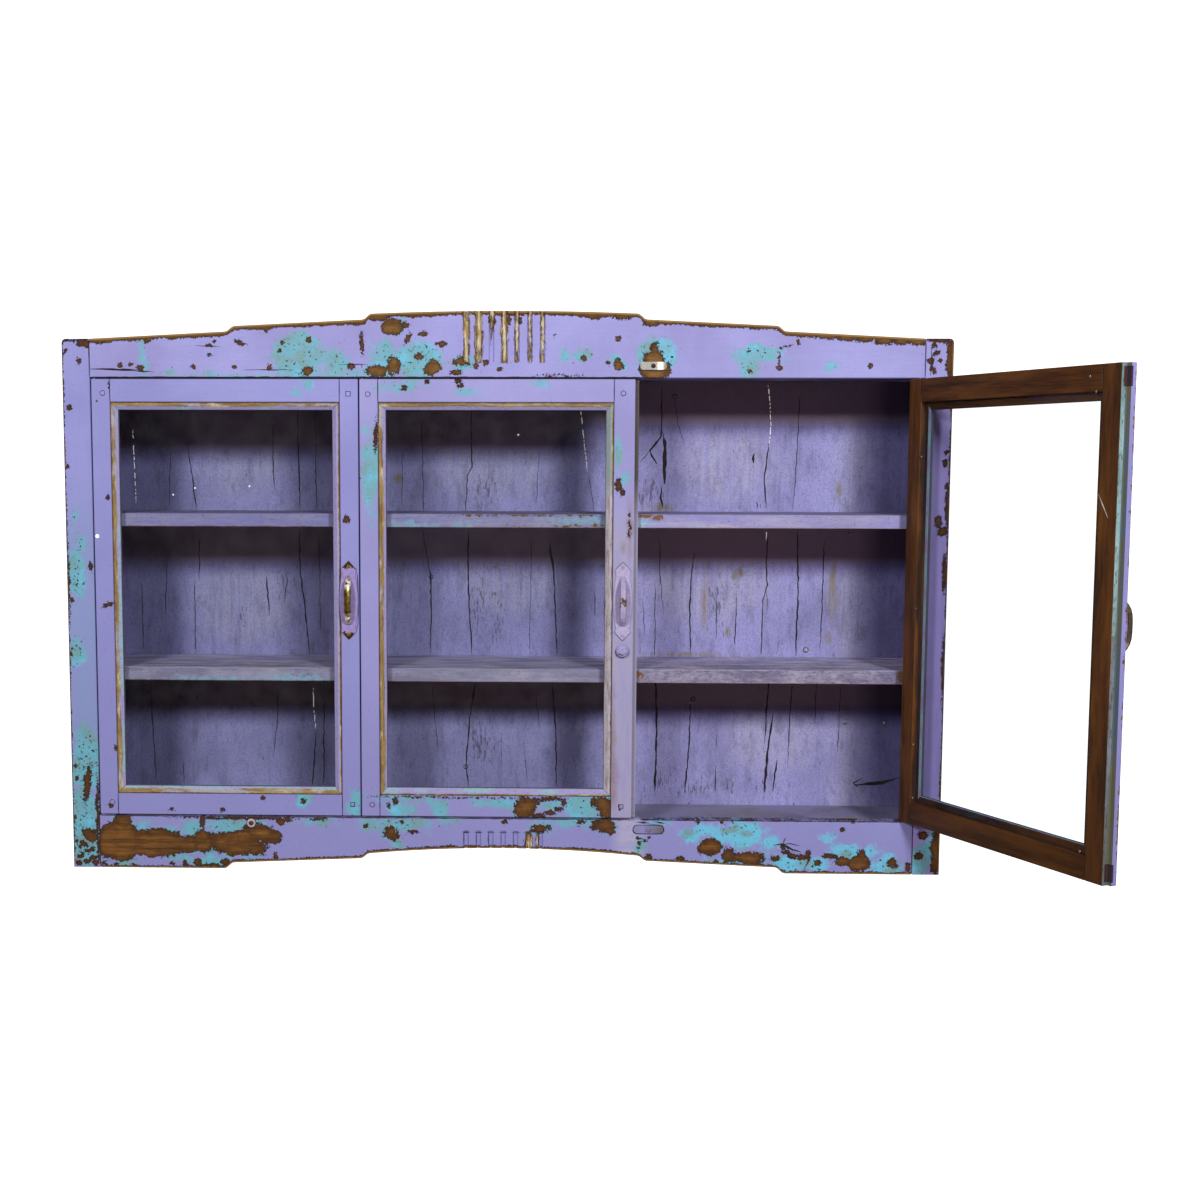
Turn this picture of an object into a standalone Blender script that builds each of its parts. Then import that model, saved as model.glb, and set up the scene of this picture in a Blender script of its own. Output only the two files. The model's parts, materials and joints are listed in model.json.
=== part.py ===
"""Glazed three-door wall cabinet with a stepped pediment, pivot-hung doors and a boarded back.

The frame has +X to the cabinet's right, +Y into the wall and +Z up. The origin lies on the wall
plane, on the cabinet's centre line, at the middle of the door height.
"""

import math

import bmesh
import bpy
from mathutils import Matrix, Vector

# Cabinet, in metres
CABINET_WIDTH = 1.220
CABINET_DEPTH = 0.190
OPENING_HEIGHT = 0.613
STILE_WIDTH = 0.038
STILE_ABOVE_OPENING = 0.053
STILE_BELOW_OPENING = 0.0755
STILE_CORNER_RADIUS = 0.006
SIDE_THICKNESS = 0.018
BOARD_THICKNESS = 0.018
SHELF_THICKNESS = 0.019
BACK_THICKNESS = 0.012
DADO_DEPTH = 0.006
TOP_BOARD_ABOVE_OPENING = 0.0045
FLOOR_BELOW_OPENING = 0.0155
SHELF_TOPS_ABOVE_FLOOR = (0.225, 0.442)
BACK_BOARD_WIDTHS = (0.137, 0.161, 0.185, 0.241, 0.162, 0.158)

# Pediment and base outlines: heights are measured from the edge beside the doors
PEDIMENT_CENTRE = 0.0905
PEDIMENT_STEPS = ((0.188, 0.0868, 0.0788), (0.377, 0.0703, 0.0627))
BASE_CENTRE = 0.043
BASE_STEPS = ((0.195, 0.052, 0.0593), (0.388, 0.067, STILE_BELOW_OPENING))
STEP_RUN = 0.013
FLUTE_COUNT = 7
FLUTE_PITCH = 0.01745
FLUTE_WIDTH = 0.0075
FLUTE_DEPTH = 0.0030
PEDIMENT_FLUTE_STOP = 0.0215
BASE_FLUTE_STOP = 0.0180
FRAME_TENON_LENGTH = 0.024
FRAME_TENON_THICKNESS = 0.008
FRAME_TENON_SHOULDER = 0.008

# Doors
DOOR_THICKNESS = 0.0175
LEFT_DOOR_WIDTH = 0.3691
MIDDLE_DOOR_WIDTH = 0.3785
DOOR_STILE_WIDTH = 0.0255
REBATED_STILE_WIDTH = 0.0345
DOOR_TOP_RAIL = 0.0315
DOOR_BOTTOM_RAIL = 0.030
DOOR_TENON_THICKNESS = 0.0075
DOOR_TENON_FROM_FACE = 0.0060
DOOR_TENON_SHOULDER = 0.0045
LIP_WIDTH = 0.006
LIP_THICKNESS = 0.0083
BEAD_WIDTH = 0.0105
BEAD_FLAT = 0.0045
BEAD_DEPTH = 0.009
BEAD_BEVEL_DROP = 0.0045
GLASS_THICKNESS = 0.003
RIGHT_DOOR_REST_ANGLE = 115.0
PIVOT_FROM_EDGE = 0.0040
PIVOT_FROM_FACE = 0.0032
PIN_RADIUS = 0.0015
PIN_IN_RAIL = 0.012
PIN_IN_DOOR = 0.010

# Pulls, knob, keep and turn button
PULL_LENGTH = 0.108
PULL_WIDTH = 0.026
PULL_SHOULDER_WIDTH = 0.021
PULL_WAIST_WIDTH = 0.018
PULL_TIP_LENGTH = 0.011
PULL_LEAF_LENGTH = 0.074
PULL_PLATE_THICKNESS = 0.002
PULL_FROM_EDGE = 0.0145
GRIP_LENGTH = 0.0725
GRIP_RADIUS = 0.0048
GRIP_FOOT_RADIUS = 0.0035
GRIP_HEIGHT = 0.021
GRIP_FLATNESS = 4
KNOB_RADIUS = 0.009
KNOB_HEIGHT = 0.008
KNOB_RIM_HEIGHT = 0.0040
KNOB_NECK_RADIUS = 0.0054
KNOB_NECK_HEIGHT = 0.0022
KNOB_BELOW_PULL = 0.0145
KEEP_LENGTH = 0.0374
KEEP_WIDTH = 0.0108
KEEP_THICKNESS = 0.0015
KEEP_ABOVE_OPENING = 0.0161
BUTTON_LENGTH = 0.0417
BUTTON_WIDTH = 0.011
BUTTON_THICKNESS = 0.0035
BUTTON_BELOW_OPENING = 0.0135
CATCH_FROM_LIP = 0.0225
SCREW_RADIUS = 0.0018
SCREW_HEAD_RADIUS = 0.0038
SCREW_HEAD_HEIGHT = 0.0014
SCREW_HEAD_RIM = 0.0006
SCREW_LENGTH = 0.014

# Clearances
SEAT = 0.0003
DOOR_GAP = 0.0018
REBATE_GAP = 0.0008
SHELF_TO_DOOR = 0.0018
BOARD_GAP = 0.0008
ARRIS = 0.0008
CUT_MARGIN = 0.004

# Fineness of the curved outlines
ROUND_SIDES = 16
OGEE_STEPS = 4
ARCH_POINTS = 6
LEAF_POINTS = 7
GRIP_POINTS = 15
CORNER_SEGMENTS = 4
STRIP_END_STEPS = 6
DOME_STEPS = 4
ARRIS_ANGLE = math.radians(40)
SMOOTH_ANGLE = math.radians(35)
WELD_DISTANCE = 0.000001
FLAT_ANGLE = 0.001

# Worked-out places
FRONT = -CABINET_DEPTH
FRAME_THICKNESS = DOOR_THICKNESS + SHELF_TO_DOOR - SEAT
FRAME_BACK = FRONT + FRAME_THICKNESS
BACK_INNER = -BACK_THICKNESS
HALF_WIDTH = CABINET_WIDTH / 2
HALF_OPENING = HALF_WIDTH - STILE_WIDTH
OPENING_TOP = OPENING_HEIGHT / 2
OPENING_BOTTOM = -OPENING_TOP
STILE_TOP = OPENING_TOP + STILE_ABOVE_OPENING
STILE_BOTTOM = OPENING_BOTTOM - STILE_BELOW_OPENING
FLOOR_TOP = OPENING_BOTTOM - FLOOR_BELOW_OPENING
TOP_BOARD_UNDERSIDE = OPENING_TOP + TOP_BOARD_ABOVE_OPENING
DOOR_HEIGHT = OPENING_HEIGHT - 2 * DOOR_GAP
DOOR_TOP = DOOR_HEIGHT / 2
LEFT_DOOR_EDGE = -HALF_OPENING + DOOR_GAP
MIDDLE_DOOR_EDGE = LEFT_DOOR_EDGE + LEFT_DOOR_WIDTH + DOOR_GAP
MIDDLE_DOOR_LIP = MIDDLE_DOOR_EDGE + MIDDLE_DOOR_WIDTH
RIGHT_DOOR_EDGE = HALF_OPENING - DOOR_GAP
RIGHT_DOOR_WIDTH = RIGHT_DOOR_EDGE - MIDDLE_DOOR_LIP - DOOR_GAP
CATCH_X = MIDDLE_DOOR_LIP + DOOR_GAP + CATCH_FROM_LIP

COLOURS = {
    "lilac_paint": ((0.35, 0.31, 0.70), 0.55, 0.0),
    "inner_paint": ((0.24, 0.22, 0.42), 0.65, 0.0),
    "worn_bead": ((0.48, 0.36, 0.13), 0.60, 0.0),
    "window_glass": ((0.85, 0.90, 0.88), 0.05, 0.0),
    "old_brass": ((0.32, 0.23, 0.05), 0.30, 1.0),
    "plated_steel": ((0.55, 0.53, 0.50), 0.30, 1.0),
}


def clear_scene():
    for item in list(bpy.data.objects):
        bpy.data.objects.remove(item, do_unlink=True)


def new_collection(name):
    collection = bpy.data.collections.new(name)
    bpy.context.scene.collection.children.link(collection)
    return collection


def make_material(name):
    colour, roughness, metallic = COLOURS[name]
    material = bpy.data.materials.new(name)
    material.use_nodes = True
    shader = material.node_tree.nodes["Principled BSDF"]
    shader.inputs["Base Color"].default_value = (*colour, 1.0)
    shader.inputs["Roughness"].default_value = roughness
    shader.inputs["Metallic"].default_value = metallic
    return material


def add_part(name, mesh, material, location=(0, 0, 0), parent=None):
    part = bpy.data.objects.new(name, mesh)
    part.data.materials.append(MATERIALS[material])
    part.location = location
    part.parent = parent
    PARTS.objects.link(part)
    return part


def add_cutter(name, mesh, location=(0, 0, 0), parent=None):
    cutter = bpy.data.objects.new(name, mesh)
    cutter.location = location
    cutter.parent = parent
    cutter.hide_render = True
    cutter.display_type = "WIRE"
    CUTTERS.objects.link(cutter)
    return cutter


def boolean(part, other, operation):
    modifier = part.modifiers.new(other.name, "BOOLEAN")
    modifier.object = other
    modifier.operation = operation


def cut(part, cutter):
    boolean(part, cutter, "DIFFERENCE")


def join(part, other):
    boolean(part, other, "UNION")


def soften(part, width=ARRIS):
    modifier = part.modifiers.new("arris", "BEVEL")
    modifier.width = width
    modifier.segments = 1
    modifier.limit_method = "ANGLE"
    modifier.angle_limit = ARRIS_ANGLE


def box_mesh(name, size):
    mesh = bpy.data.meshes.new(name)
    bm = bmesh.new()
    bmesh.ops.create_cube(bm, size=1.0)
    bmesh.ops.scale(bm, vec=size, verts=bm.verts)
    bm.to_mesh(mesh)
    bm.free()
    return mesh


def span(low, high):
    """Size and centre of the box between two corners."""
    size = [b - a for a, b in zip(low, high)]
    centre = [(a + b) / 2 for a, b in zip(low, high)]
    return size, centre


def box(name, low, high, material, parent=None, arris=ARRIS):
    size, centre = span(low, high)
    part = add_part(name, box_mesh(name, size), material, centre, parent)
    if arris:
        soften(part, arris)
    return part


def box_cutter(name, low, high, parent=None):
    size, centre = span(low, high)
    return add_cutter(name, box_mesh(name, size), centre, parent)


def cylinder_mesh(name, radius, length):
    mesh = bpy.data.meshes.new(name)
    bm = bmesh.new()
    bmesh.ops.create_cone(
        bm, cap_ends=True, segments=ROUND_SIDES, radius1=radius, radius2=radius, depth=length
    )
    bm.to_mesh(mesh)
    bm.free()
    return mesh


def outline_mesh(name, outlines, thickness):
    """An upright plate from closed outlines in X and Z, centred on Y. Inner outlines are holes."""
    curve = bpy.data.curves.new(name, "CURVE")
    curve.dimensions = "2D"
    curve.fill_mode = "BOTH"
    curve.extrude = thickness / 2
    for outline in outlines:
        spline = curve.splines.new("POLY")
        spline.points.add(len(outline) - 1)
        for point, (x, z) in zip(spline.points, outline):
            point.co = (x, z, 0, 1)
        spline.use_cyclic_u = True
    return mesh_from_curve(name, curve, Matrix.Rotation(math.pi / 2, 4, "X"))


def mesh_from_curve(name, curve, turn):
    holder = bpy.data.objects.new(name, curve)
    bpy.context.scene.collection.objects.link(holder)
    graph = bpy.context.evaluated_depsgraph_get()
    mesh = bpy.data.meshes.new_from_object(holder.evaluated_get(graph))
    bpy.data.objects.remove(holder, do_unlink=True)
    bm = bmesh.new()
    bm.from_mesh(mesh)
    bmesh.ops.remove_doubles(bm, verts=bm.verts, dist=WELD_DISTANCE)
    bmesh.ops.dissolve_limit(bm, angle_limit=FLAT_ANGLE, verts=bm.verts, edges=bm.edges)
    bmesh.ops.recalc_face_normals(bm, faces=bm.faces)
    bmesh.ops.transform(bm, matrix=turn, verts=bm.verts)
    bm.to_mesh(mesh)
    bm.free()
    mesh.materials.clear()
    return mesh


def turned_part(name, profile, material, location, parent=None):
    """A turned piece on the Y axis from (radius, height) points, with its top towards -Y."""
    mesh = bpy.data.meshes.new(name)
    bm = bmesh.new()
    points = [bm.verts.new((radius, 0, height)) for radius, height in profile]
    for a, b in zip(points, points[1:]):
        bm.edges.new((a, b))
    bm.to_mesh(mesh)
    bm.free()
    part = add_part(name, mesh, material, location, parent)
    part.rotation_euler = (math.pi / 2, 0, 0)
    screw = part.modifiers.new("turn", "SCREW")
    screw.steps = ROUND_SIDES
    screw.render_steps = ROUND_SIDES
    screw.use_merge_vertices = True
    screw.merge_threshold = WELD_DISTANCE
    return part


def dome(radius, rim, top):
    """Profile of a rounded head, as (radius, height) points from its middle to its rim."""
    angles = [math.pi / 2 * i / DOME_STEPS for i in range(DOME_STEPS + 1)]
    return [(radius * math.sin(angle), rim + (top - rim) * math.cos(angle)) for angle in angles]


def ogee(x, low, high):
    """Points of an S-shaped step of STEP_RUN centred on x, from one height to the other."""
    points = []
    for i in range(OGEE_STEPS + 1):
        share = i / OGEE_STEPS
        blend = (1 - math.cos(math.pi * share)) / 2
        points.append((x + STEP_RUN * (share - 0.5), low + (high - low) * blend))
    return points


def stepped_edge(centre_height, steps, end_height, half_length):
    """Half of the pediment's or base's edge, from the middle to the end, as (x, height) points."""
    first_x, first_height, _ = steps[0]
    arch_end = first_x - STEP_RUN / 2
    points = []
    for i in range(ARCH_POINTS):
        share = i / ARCH_POINTS
        points.append((arch_end * share, centre_height + (first_height - centre_height) * share**2))
    for x, near_height, far_height in steps:
        points += ogee(x, near_height, far_height)
    points.append((half_length, end_height))
    return points


def mirrored(half):
    """The whole edge from its right half, from left to right."""
    left = [(-x, height) for x, height in reversed(half) if x > 0]
    return left + half


def face_rail(name, edge, sign, flute_stop):
    """A rail between the frame's stiles: straight beside the doors, stepped on its outer edge."""
    base = OPENING_TOP if sign > 0 else OPENING_BOTTOM
    half_length = HALF_OPENING - SEAT
    outline = [(x, base + sign * height) for x, height in mirrored(edge)]
    outline += [(half_length, base), (-half_length, base)]
    mesh = outline_mesh(name, [outline], FRAME_THICKNESS)
    middle = (FRONT + FRAME_BACK) / 2
    rail = add_part(name, mesh, "lilac_paint", (0, middle, 0))
    soften(rail)
    tenon_reach = HALF_OPENING + FRAME_TENON_LENGTH
    low, high = frame_tenon(sign)
    tenon = box_cutter(name + "_tenons", (-tenon_reach, *low), (tenon_reach, *high))
    join(rail, tenon)
    reach = max(height for _, height in edge) + CUT_MARGIN
    flute_rail(rail, base + sign * flute_stop, base + sign * reach)
    return rail


def frame_tenon(sign):
    """Lowest and highest Y and Z of the tenons on the pediment (+1) or the base rail (-1)."""
    base = OPENING_TOP if sign > 0 else OPENING_BOTTOM
    reach = STILE_ABOVE_OPENING if sign > 0 else BASE_CENTRE
    near = base + sign * FRAME_TENON_SHOULDER
    far = base + sign * (reach - FRAME_TENON_SHOULDER)
    middle = (FRONT + FRAME_BACK) / 2
    half = FRAME_TENON_THICKNESS / 2
    return (middle - half, min(near, far)), (middle + half, max(near, far))


def flute_rail(rail, stop, outside):
    """Round grooves side by side in the middle of a rail's face, from stop to past its outer edge."""
    radius = (FLUTE_WIDTH**2 / 4 + FLUTE_DEPTH**2) / (2 * FLUTE_DEPTH)
    for i in range(FLUTE_COUNT):
        x = (i - (FLUTE_COUNT - 1) / 2) * FLUTE_PITCH
        mesh = cylinder_mesh(f"{rail.name}_flute_{i + 1}", radius, abs(outside - stop))
        place = (x, FRONT + FLUTE_DEPTH - radius, (stop + outside) / 2)
        cut(rail, add_cutter(mesh.name, mesh, place))


def face_stile(name, sign):
    """A stile of the face frame over its full height, with the outer top corner rounded."""
    inner = sign * HALF_OPENING
    outer = sign * HALF_WIDTH
    low = (min(inner, outer), FRONT, STILE_BOTTOM)
    high = (max(inner, outer), FRAME_BACK, STILE_TOP)
    stile = box(name, low, high, "lilac_paint", arris=0)
    round_top_corner(stile.data, sign)
    soften(stile)
    for rail_sign, rail in ((1, "pediment"), (-1, "base")):
        tenon_low, tenon_high = frame_tenon(rail_sign)
        reach = sign * (HALF_OPENING + FRAME_TENON_LENGTH + SEAT)
        start = sign * (HALF_OPENING - CUT_MARGIN)
        cutter_low = (min(reach, start), tenon_low[0] - SEAT, tenon_low[1] - SEAT)
        cutter_high = (max(reach, start), tenon_high[0] + SEAT, tenon_high[1] + SEAT)
        cut(stile, box_cutter(f"{name}_{rail}_mortise", cutter_low, cutter_high))


def round_top_corner(mesh, sign):
    """Round off the top corner on the outer side of a stile's mesh."""
    bm = bmesh.new()
    bm.from_mesh(mesh)
    top = max(vert.co.z for vert in bm.verts)
    corner = [
        edge
        for edge in bm.edges
        if all(vert.co.x * sign > 0 and vert.co.z == top for vert in edge.verts)
    ]
    bmesh.ops.bevel(
        bm,
        geom=corner,
        offset=STILE_CORNER_RADIUS,
        segments=CORNER_SEGMENTS,
        profile=0.5,
        affect="EDGES",
    )
    bm.to_mesh(mesh)
    bm.free()


def carcass_boards():
    """Name, underside and top of each level board."""
    rows = [
        ("top_board", TOP_BOARD_UNDERSIDE, TOP_BOARD_UNDERSIDE + BOARD_THICKNESS),
        ("bottom_board", FLOOR_TOP - BOARD_THICKNESS, FLOOR_TOP),
    ]
    for name, height in zip(("lower_shelf", "upper_shelf"), SHELF_TOPS_ABOVE_FLOOR):
        rows.append((name, FLOOR_TOP + height - SHELF_THICKNESS, FLOOR_TOP + height))
    return rows


def carcass():
    """Top, bottom and shelves, let into grooves in the two sides."""
    front = FRAME_BACK + SEAT
    back = BACK_INNER - SEAT
    inner = HALF_WIDTH - SIDE_THICKNESS
    reach = inner + DADO_DEPTH - SEAT
    for name, underside, top in carcass_boards():
        box(name, (-reach, front, underside), (reach, back, top), "inner_paint")
    for name, sign in (("left_side", -1), ("right_side", 1)):
        low_x, high_x = sorted((sign * inner, sign * HALF_WIDTH))
        side = box(name, (low_x, front, STILE_BOTTOM), (high_x, back, STILE_TOP), "lilac_paint")
        for board, underside, top in carcass_boards():
            x0, x1 = sorted((sign * (inner - CUT_MARGIN), sign * (inner + DADO_DEPTH)))
            low = (x0, front - CUT_MARGIN, underside - SEAT)
            high = (x1, back + CUT_MARGIN, top + SEAT)
            cut(side, box_cutter(f"{name}_{board}_dado", low, high))


def back_boards():
    """Vertical boards of unlike width, nailed over the back of the carcass."""
    low_z = FLOOR_TOP - BOARD_THICKNESS
    high_z = TOP_BOARD_UNDERSIDE + BOARD_THICKNESS
    edges = [-HALF_WIDTH]
    for width in BACK_BOARD_WIDTHS:
        edges.append(edges[-1] + width)
    edges.append(HALF_WIDTH)
    for i, (left, right) in enumerate(zip(edges, edges[1:])):
        low = (left + BOARD_GAP / 2, BACK_INNER, low_z)
        high = (right - BOARD_GAP / 2, 0, high_z)
        box(f"back_board_{i + 1}", low, high, "inner_paint")


class Door:
    """A door in its own frame: the pivot axis is the origin, and u runs from the hinge edge."""

    def __init__(self, name, hinge_edge, side, width, rebate, rest_angle):
        self.name = name
        self.side = side
        self.width = width
        self.rebate = rebate
        self.meeting_width = REBATED_STILE_WIDTH if rebate else DOOR_STILE_WIDTH
        self.outer_edge = width + (LIP_WIDTH if rebate == "back" else 0)
        self.opening = (DOOR_STILE_WIDTH, self.outer_edge - self.meeting_width)
        self.opening_z = (-DOOR_TOP + DOOR_BOTTOM_RAIL, DOOR_TOP - DOOR_TOP_RAIL)
        self.pivot = Vector((hinge_edge + side * PIVOT_FROM_EDGE, FRONT + PIVOT_FROM_FACE, 0))
        self.hinge = bpy.data.objects.new(name + "_hinge", None)
        self.hinge.location = self.pivot
        self.hinge.rotation_euler = (0, 0, math.radians(rest_angle))
        PARTS.objects.link(self.hinge)

    def corners(self, u, depth, z):
        """Lowest and highest local corners of a block given by its ranges."""
        x0, x1 = sorted(self.side * (value - PIVOT_FROM_EDGE) for value in u)
        low = (x0, depth[0] - PIVOT_FROM_FACE, z[0])
        high = (x1, depth[1] - PIVOT_FROM_FACE, z[1])
        return low, high

    def point(self, u, depth, z):
        return (self.side * (u - PIVOT_FROM_EDGE), depth - PIVOT_FROM_FACE, z)

    def block(self, part, u, depth, z, material, arris=ARRIS):
        low, high = self.corners(u, depth, z)
        return box(f"{self.name}_{part}", low, high, material, self.hinge, arris)

    def cutter(self, part, u, depth, z):
        low, high = self.corners(u, depth, z)
        return box_cutter(f"{self.name}_{part}", low, high, self.hinge)


def rebate_cutter(door, gap=0.0):
    """What the meeting edge loses: the front of a back lip, or the back of a front lip."""
    tall = (-DOOR_TOP - CUT_MARGIN, DOOR_TOP + CUT_MARGIN)
    if door.rebate == "back":
        depth = (-CUT_MARGIN, LIP_THICKNESS + REBATE_GAP)
        u = (door.width - gap, door.outer_edge + CUT_MARGIN)
    else:
        depth = (LIP_THICKNESS, DOOR_THICKNESS + CUT_MARGIN)
        u = (door.width - LIP_WIDTH - gap, door.width + CUT_MARGIN)
    return door.cutter(f"rebate_{round(gap * 1e6)}", u, depth, tall)


def tenon_heights(rail):
    """Lowest and highest Z of a door rail's tenons."""
    if rail == "top_rail":
        return DOOR_TOP - DOOR_TOP_RAIL + DOOR_TENON_SHOULDER, DOOR_TOP - DOOR_TENON_SHOULDER
    return -DOOR_TOP + DOOR_TENON_SHOULDER, -DOOR_TOP + DOOR_BOTTOM_RAIL - DOOR_TENON_SHOULDER


def door_frame(door):
    """Two stiles and two rails with through tenons, rebated where the door overlaps its neighbour."""
    depth = (0, DOOR_THICKNESS)
    tall = (-DOOR_TOP, DOOR_TOP)
    near, far = door.opening
    hinge_stile = door.block("hinge_stile", (0, near), depth, tall, "lilac_paint")
    meeting_stile = door.block("meeting_stile", (far, door.outer_edge), depth, tall, "lilac_paint")
    tenon_depth = (DOOR_TENON_FROM_FACE, DOOR_TENON_FROM_FACE + DOOR_TENON_THICKNESS)
    mortise_depth = (tenon_depth[0] - SEAT, tenon_depth[1] + SEAT)
    rails = {"top_rail": (door.opening_z[1], DOOR_TOP), "bottom_rail": (-DOOR_TOP, door.opening_z[0])}
    if door.rebate:
        cut(meeting_stile, rebate_cutter(door))
        tenon_rebate = rebate_cutter(door, SEAT)
    for name, heights in rails.items():
        rail = door.block(name, (near + SEAT, far - SEAT), depth, heights, "lilac_paint")
        low, high = tenon_heights(name)
        tenon = door.cutter(name + "_tenons", (SEAT, door.outer_edge - SEAT), tenon_depth, (low, high))
        join(rail, tenon)
        if door.rebate:
            cut(rail, tenon_rebate)
        slot = (low - SEAT, high + SEAT)
        for stile, end, u in (
            (hinge_stile, "hinge", (-CUT_MARGIN, near + CUT_MARGIN)),
            (meeting_stile, "meeting", (far - CUT_MARGIN, door.outer_edge + CUT_MARGIN)),
        ):
            cut(stile, door.cutter(f"{name}_{end}_mortise", u, mortise_depth, slot))
    for end, sign in (("top", 1), ("bottom", -1)):
        hole = cylinder_mesh(f"{door.name}_{end}_pivot_hole", PIN_RADIUS + SEAT, 2 * PIN_IN_DOOR + SEAT)
        cut(hinge_stile, add_cutter(hole.name, hole, (0, 0, sign * DOOR_TOP), door.hinge))


def bead_mesh(name, length):
    """A glazing bead with mitred ends: X along it, Y its depth and Z towards the pane's middle."""
    profile = [
        (SEAT, 0),
        (SEAT + BEAD_FLAT, 0),
        (SEAT + BEAD_WIDTH, BEAD_BEVEL_DROP),
        (SEAT + BEAD_WIDTH, BEAD_DEPTH),
        (SEAT, BEAD_DEPTH),
    ]
    mesh = bpy.data.meshes.new(name)
    bm = bmesh.new()
    ring = [bm.verts.new((inset + SEAT - length / 2, depth, inset)) for inset, depth in profile]
    end = bm.faces.new(ring)
    other_end = bmesh.ops.extrude_face_region(bm, geom=[end])["geom"]
    for item in other_end:
        if isinstance(item, bmesh.types.BMVert):
            item.co.x = -item.co.x
    bmesh.ops.recalc_face_normals(bm, faces=bm.faces)
    bm.to_mesh(mesh)
    bm.free()
    return mesh


def door_glazing(door):
    """Four mitred beads at the front of the opening, with the pane behind them."""
    near, far = door.opening
    low, high = door.opening_z
    middle_u = (near + far) / 2
    middle_z = (low + high) / 2
    hinge_turn = 90 * door.side
    beads = (
        ("bottom_bead", far - near, (middle_u, low), 0),
        ("top_bead", far - near, (middle_u, high), 180),
        ("hinge_bead", high - low, (near, middle_z), hinge_turn),
        ("meeting_bead", high - low, (far, middle_z), -hinge_turn),
    )
    for name, length, (u, z), turn in beads:
        full_name = f"{door.name}_{name}"
        place = door.point(u, 0, z)
        bead = add_part(full_name, bead_mesh(full_name, length), "worn_bead", place, door.hinge)
        bead.rotation_euler = (0, math.radians(turn), 0)
    pane_depth = (BEAD_DEPTH + SEAT, BEAD_DEPTH + SEAT + GLASS_THICKNESS)
    pane_u = (near + SEAT, far - SEAT)
    door.block("glass", pane_u, pane_depth, (low + SEAT, high - SEAT), "window_glass", arris=0)


def pull_outline():
    """Backplate with pointed ends, a waist at each shoulder and leaf-shaped sides."""
    half = PULL_LENGTH / 2
    shoulder = half - PULL_TIP_LENGTH
    leaf = PULL_LEAF_LENGTH / 2
    right = [(0, half), (PULL_SHOULDER_WIDTH / 2, shoulder)]
    for i in range(LEAF_POINTS):
        z = leaf - PULL_LEAF_LENGTH * i / (LEAF_POINTS - 1)
        swell = math.cos(math.pi / 2 * z / leaf)
        right.append((PULL_WAIST_WIDTH / 2 + (PULL_WIDTH - PULL_WAIST_WIDTH) / 2 * swell, z))
    right += [(PULL_SHOULDER_WIDTH / 2, -shoulder), (0, -half)]
    left = [(-x, z) for x, z in reversed(right[1:-1])]
    return right + left


def pull_grip_mesh(name):
    """The bow of a pull, a round bar that rises off the plate and thins towards its feet."""
    curve = bpy.data.curves.new(name, "CURVE")
    curve.dimensions = "3D"
    curve.bevel_depth = GRIP_RADIUS
    curve.bevel_resolution = 2
    curve.use_fill_caps = True
    half = GRIP_LENGTH / 2 - GRIP_RADIUS
    rise = GRIP_HEIGHT - GRIP_RADIUS - PULL_PLATE_THICKNESS / 2
    foot = GRIP_FOOT_RADIUS / GRIP_RADIUS
    spline = curve.splines.new("POLY")
    spline.points.add(GRIP_POINTS - 1)
    for i, point in enumerate(spline.points):
        angle = math.pi * i / (GRIP_POINTS - 1)
        z = half * math.cos(angle)
        height = rise * (1 - abs(math.cos(angle)) ** GRIP_FLATNESS)
        point.co = (0, -PULL_PLATE_THICKNESS / 2 - height, z, 1)
        point.radius = foot + (1 - foot) * math.sin(angle)
    return mesh_from_curve(name, curve, Matrix.Identity(4))


def door_pull(door):
    """A cast pull halfway up the meeting stile, with its plate lying on the stile's face."""
    name = door.name + "_pull"
    u = door.width - PULL_FROM_EDGE
    plate = outline_mesh(name, [pull_outline()], PULL_PLATE_THICKNESS)
    place = door.point(u, -SEAT - PULL_PLATE_THICKNESS / 2, 0)
    pull = add_part(name, plate, "old_brass", place, door.hinge)
    grip_place = door.point(u, -SEAT, 0)
    grip = add_cutter(name + "_grip", pull_grip_mesh(name + "_grip"), grip_place, door.hinge)
    backing = door.cutter(
        "pull_backing",
        (u - PULL_WIDTH, u + PULL_WIDTH),
        (-SEAT, DOOR_THICKNESS),
        (-PULL_LENGTH, PULL_LENGTH),
    )
    join(pull, grip)
    cut(pull, backing)


def door_knob(door):
    """A low turned knob on the meeting stile under the pull."""
    profile = dome(KNOB_RADIUS, KNOB_RIM_HEIGHT, KNOB_HEIGHT)
    profile += [(KNOB_NECK_RADIUS, KNOB_NECK_HEIGHT), (KNOB_NECK_RADIUS, 0), (0, 0)]
    height = -PULL_LENGTH / 2 - KNOB_BELOW_PULL
    place = door.point(door.width - PULL_FROM_EDGE, -SEAT, height)
    turned_part(door.name + "_knob", profile, "lilac_paint", place, door.hinge)


def pivot_pins(door, pediment, base):
    """Pins driven into the rails over and under the hinge edge, on which the door turns."""
    for end, rail, sign in (("top", pediment, 1), ("bottom", base, -1)):
        length = PIN_IN_RAIL + DOOR_GAP + PIN_IN_DOOR
        middle = sign * (OPENING_TOP + PIN_IN_RAIL - length / 2)
        place = (door.pivot.x, door.pivot.y, middle)
        name = f"{door.name}_{end}_pin"
        add_part(name, cylinder_mesh(name, PIN_RADIUS, length), "plated_steel", place)
        hole = cylinder_mesh(name + "_hole", PIN_RADIUS + SEAT, 2 * (PIN_IN_RAIL + SEAT))
        cut(rail, add_cutter(hole.name, hole, (door.pivot.x, door.pivot.y, sign * OPENING_TOP)))


def circle(radius):
    """A round hole's outline, centred on the origin."""
    turn = 2 * math.pi / ROUND_SIDES
    return [(radius * math.cos(turn * i), radius * math.sin(turn * i)) for i in range(ROUND_SIDES)]


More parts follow.
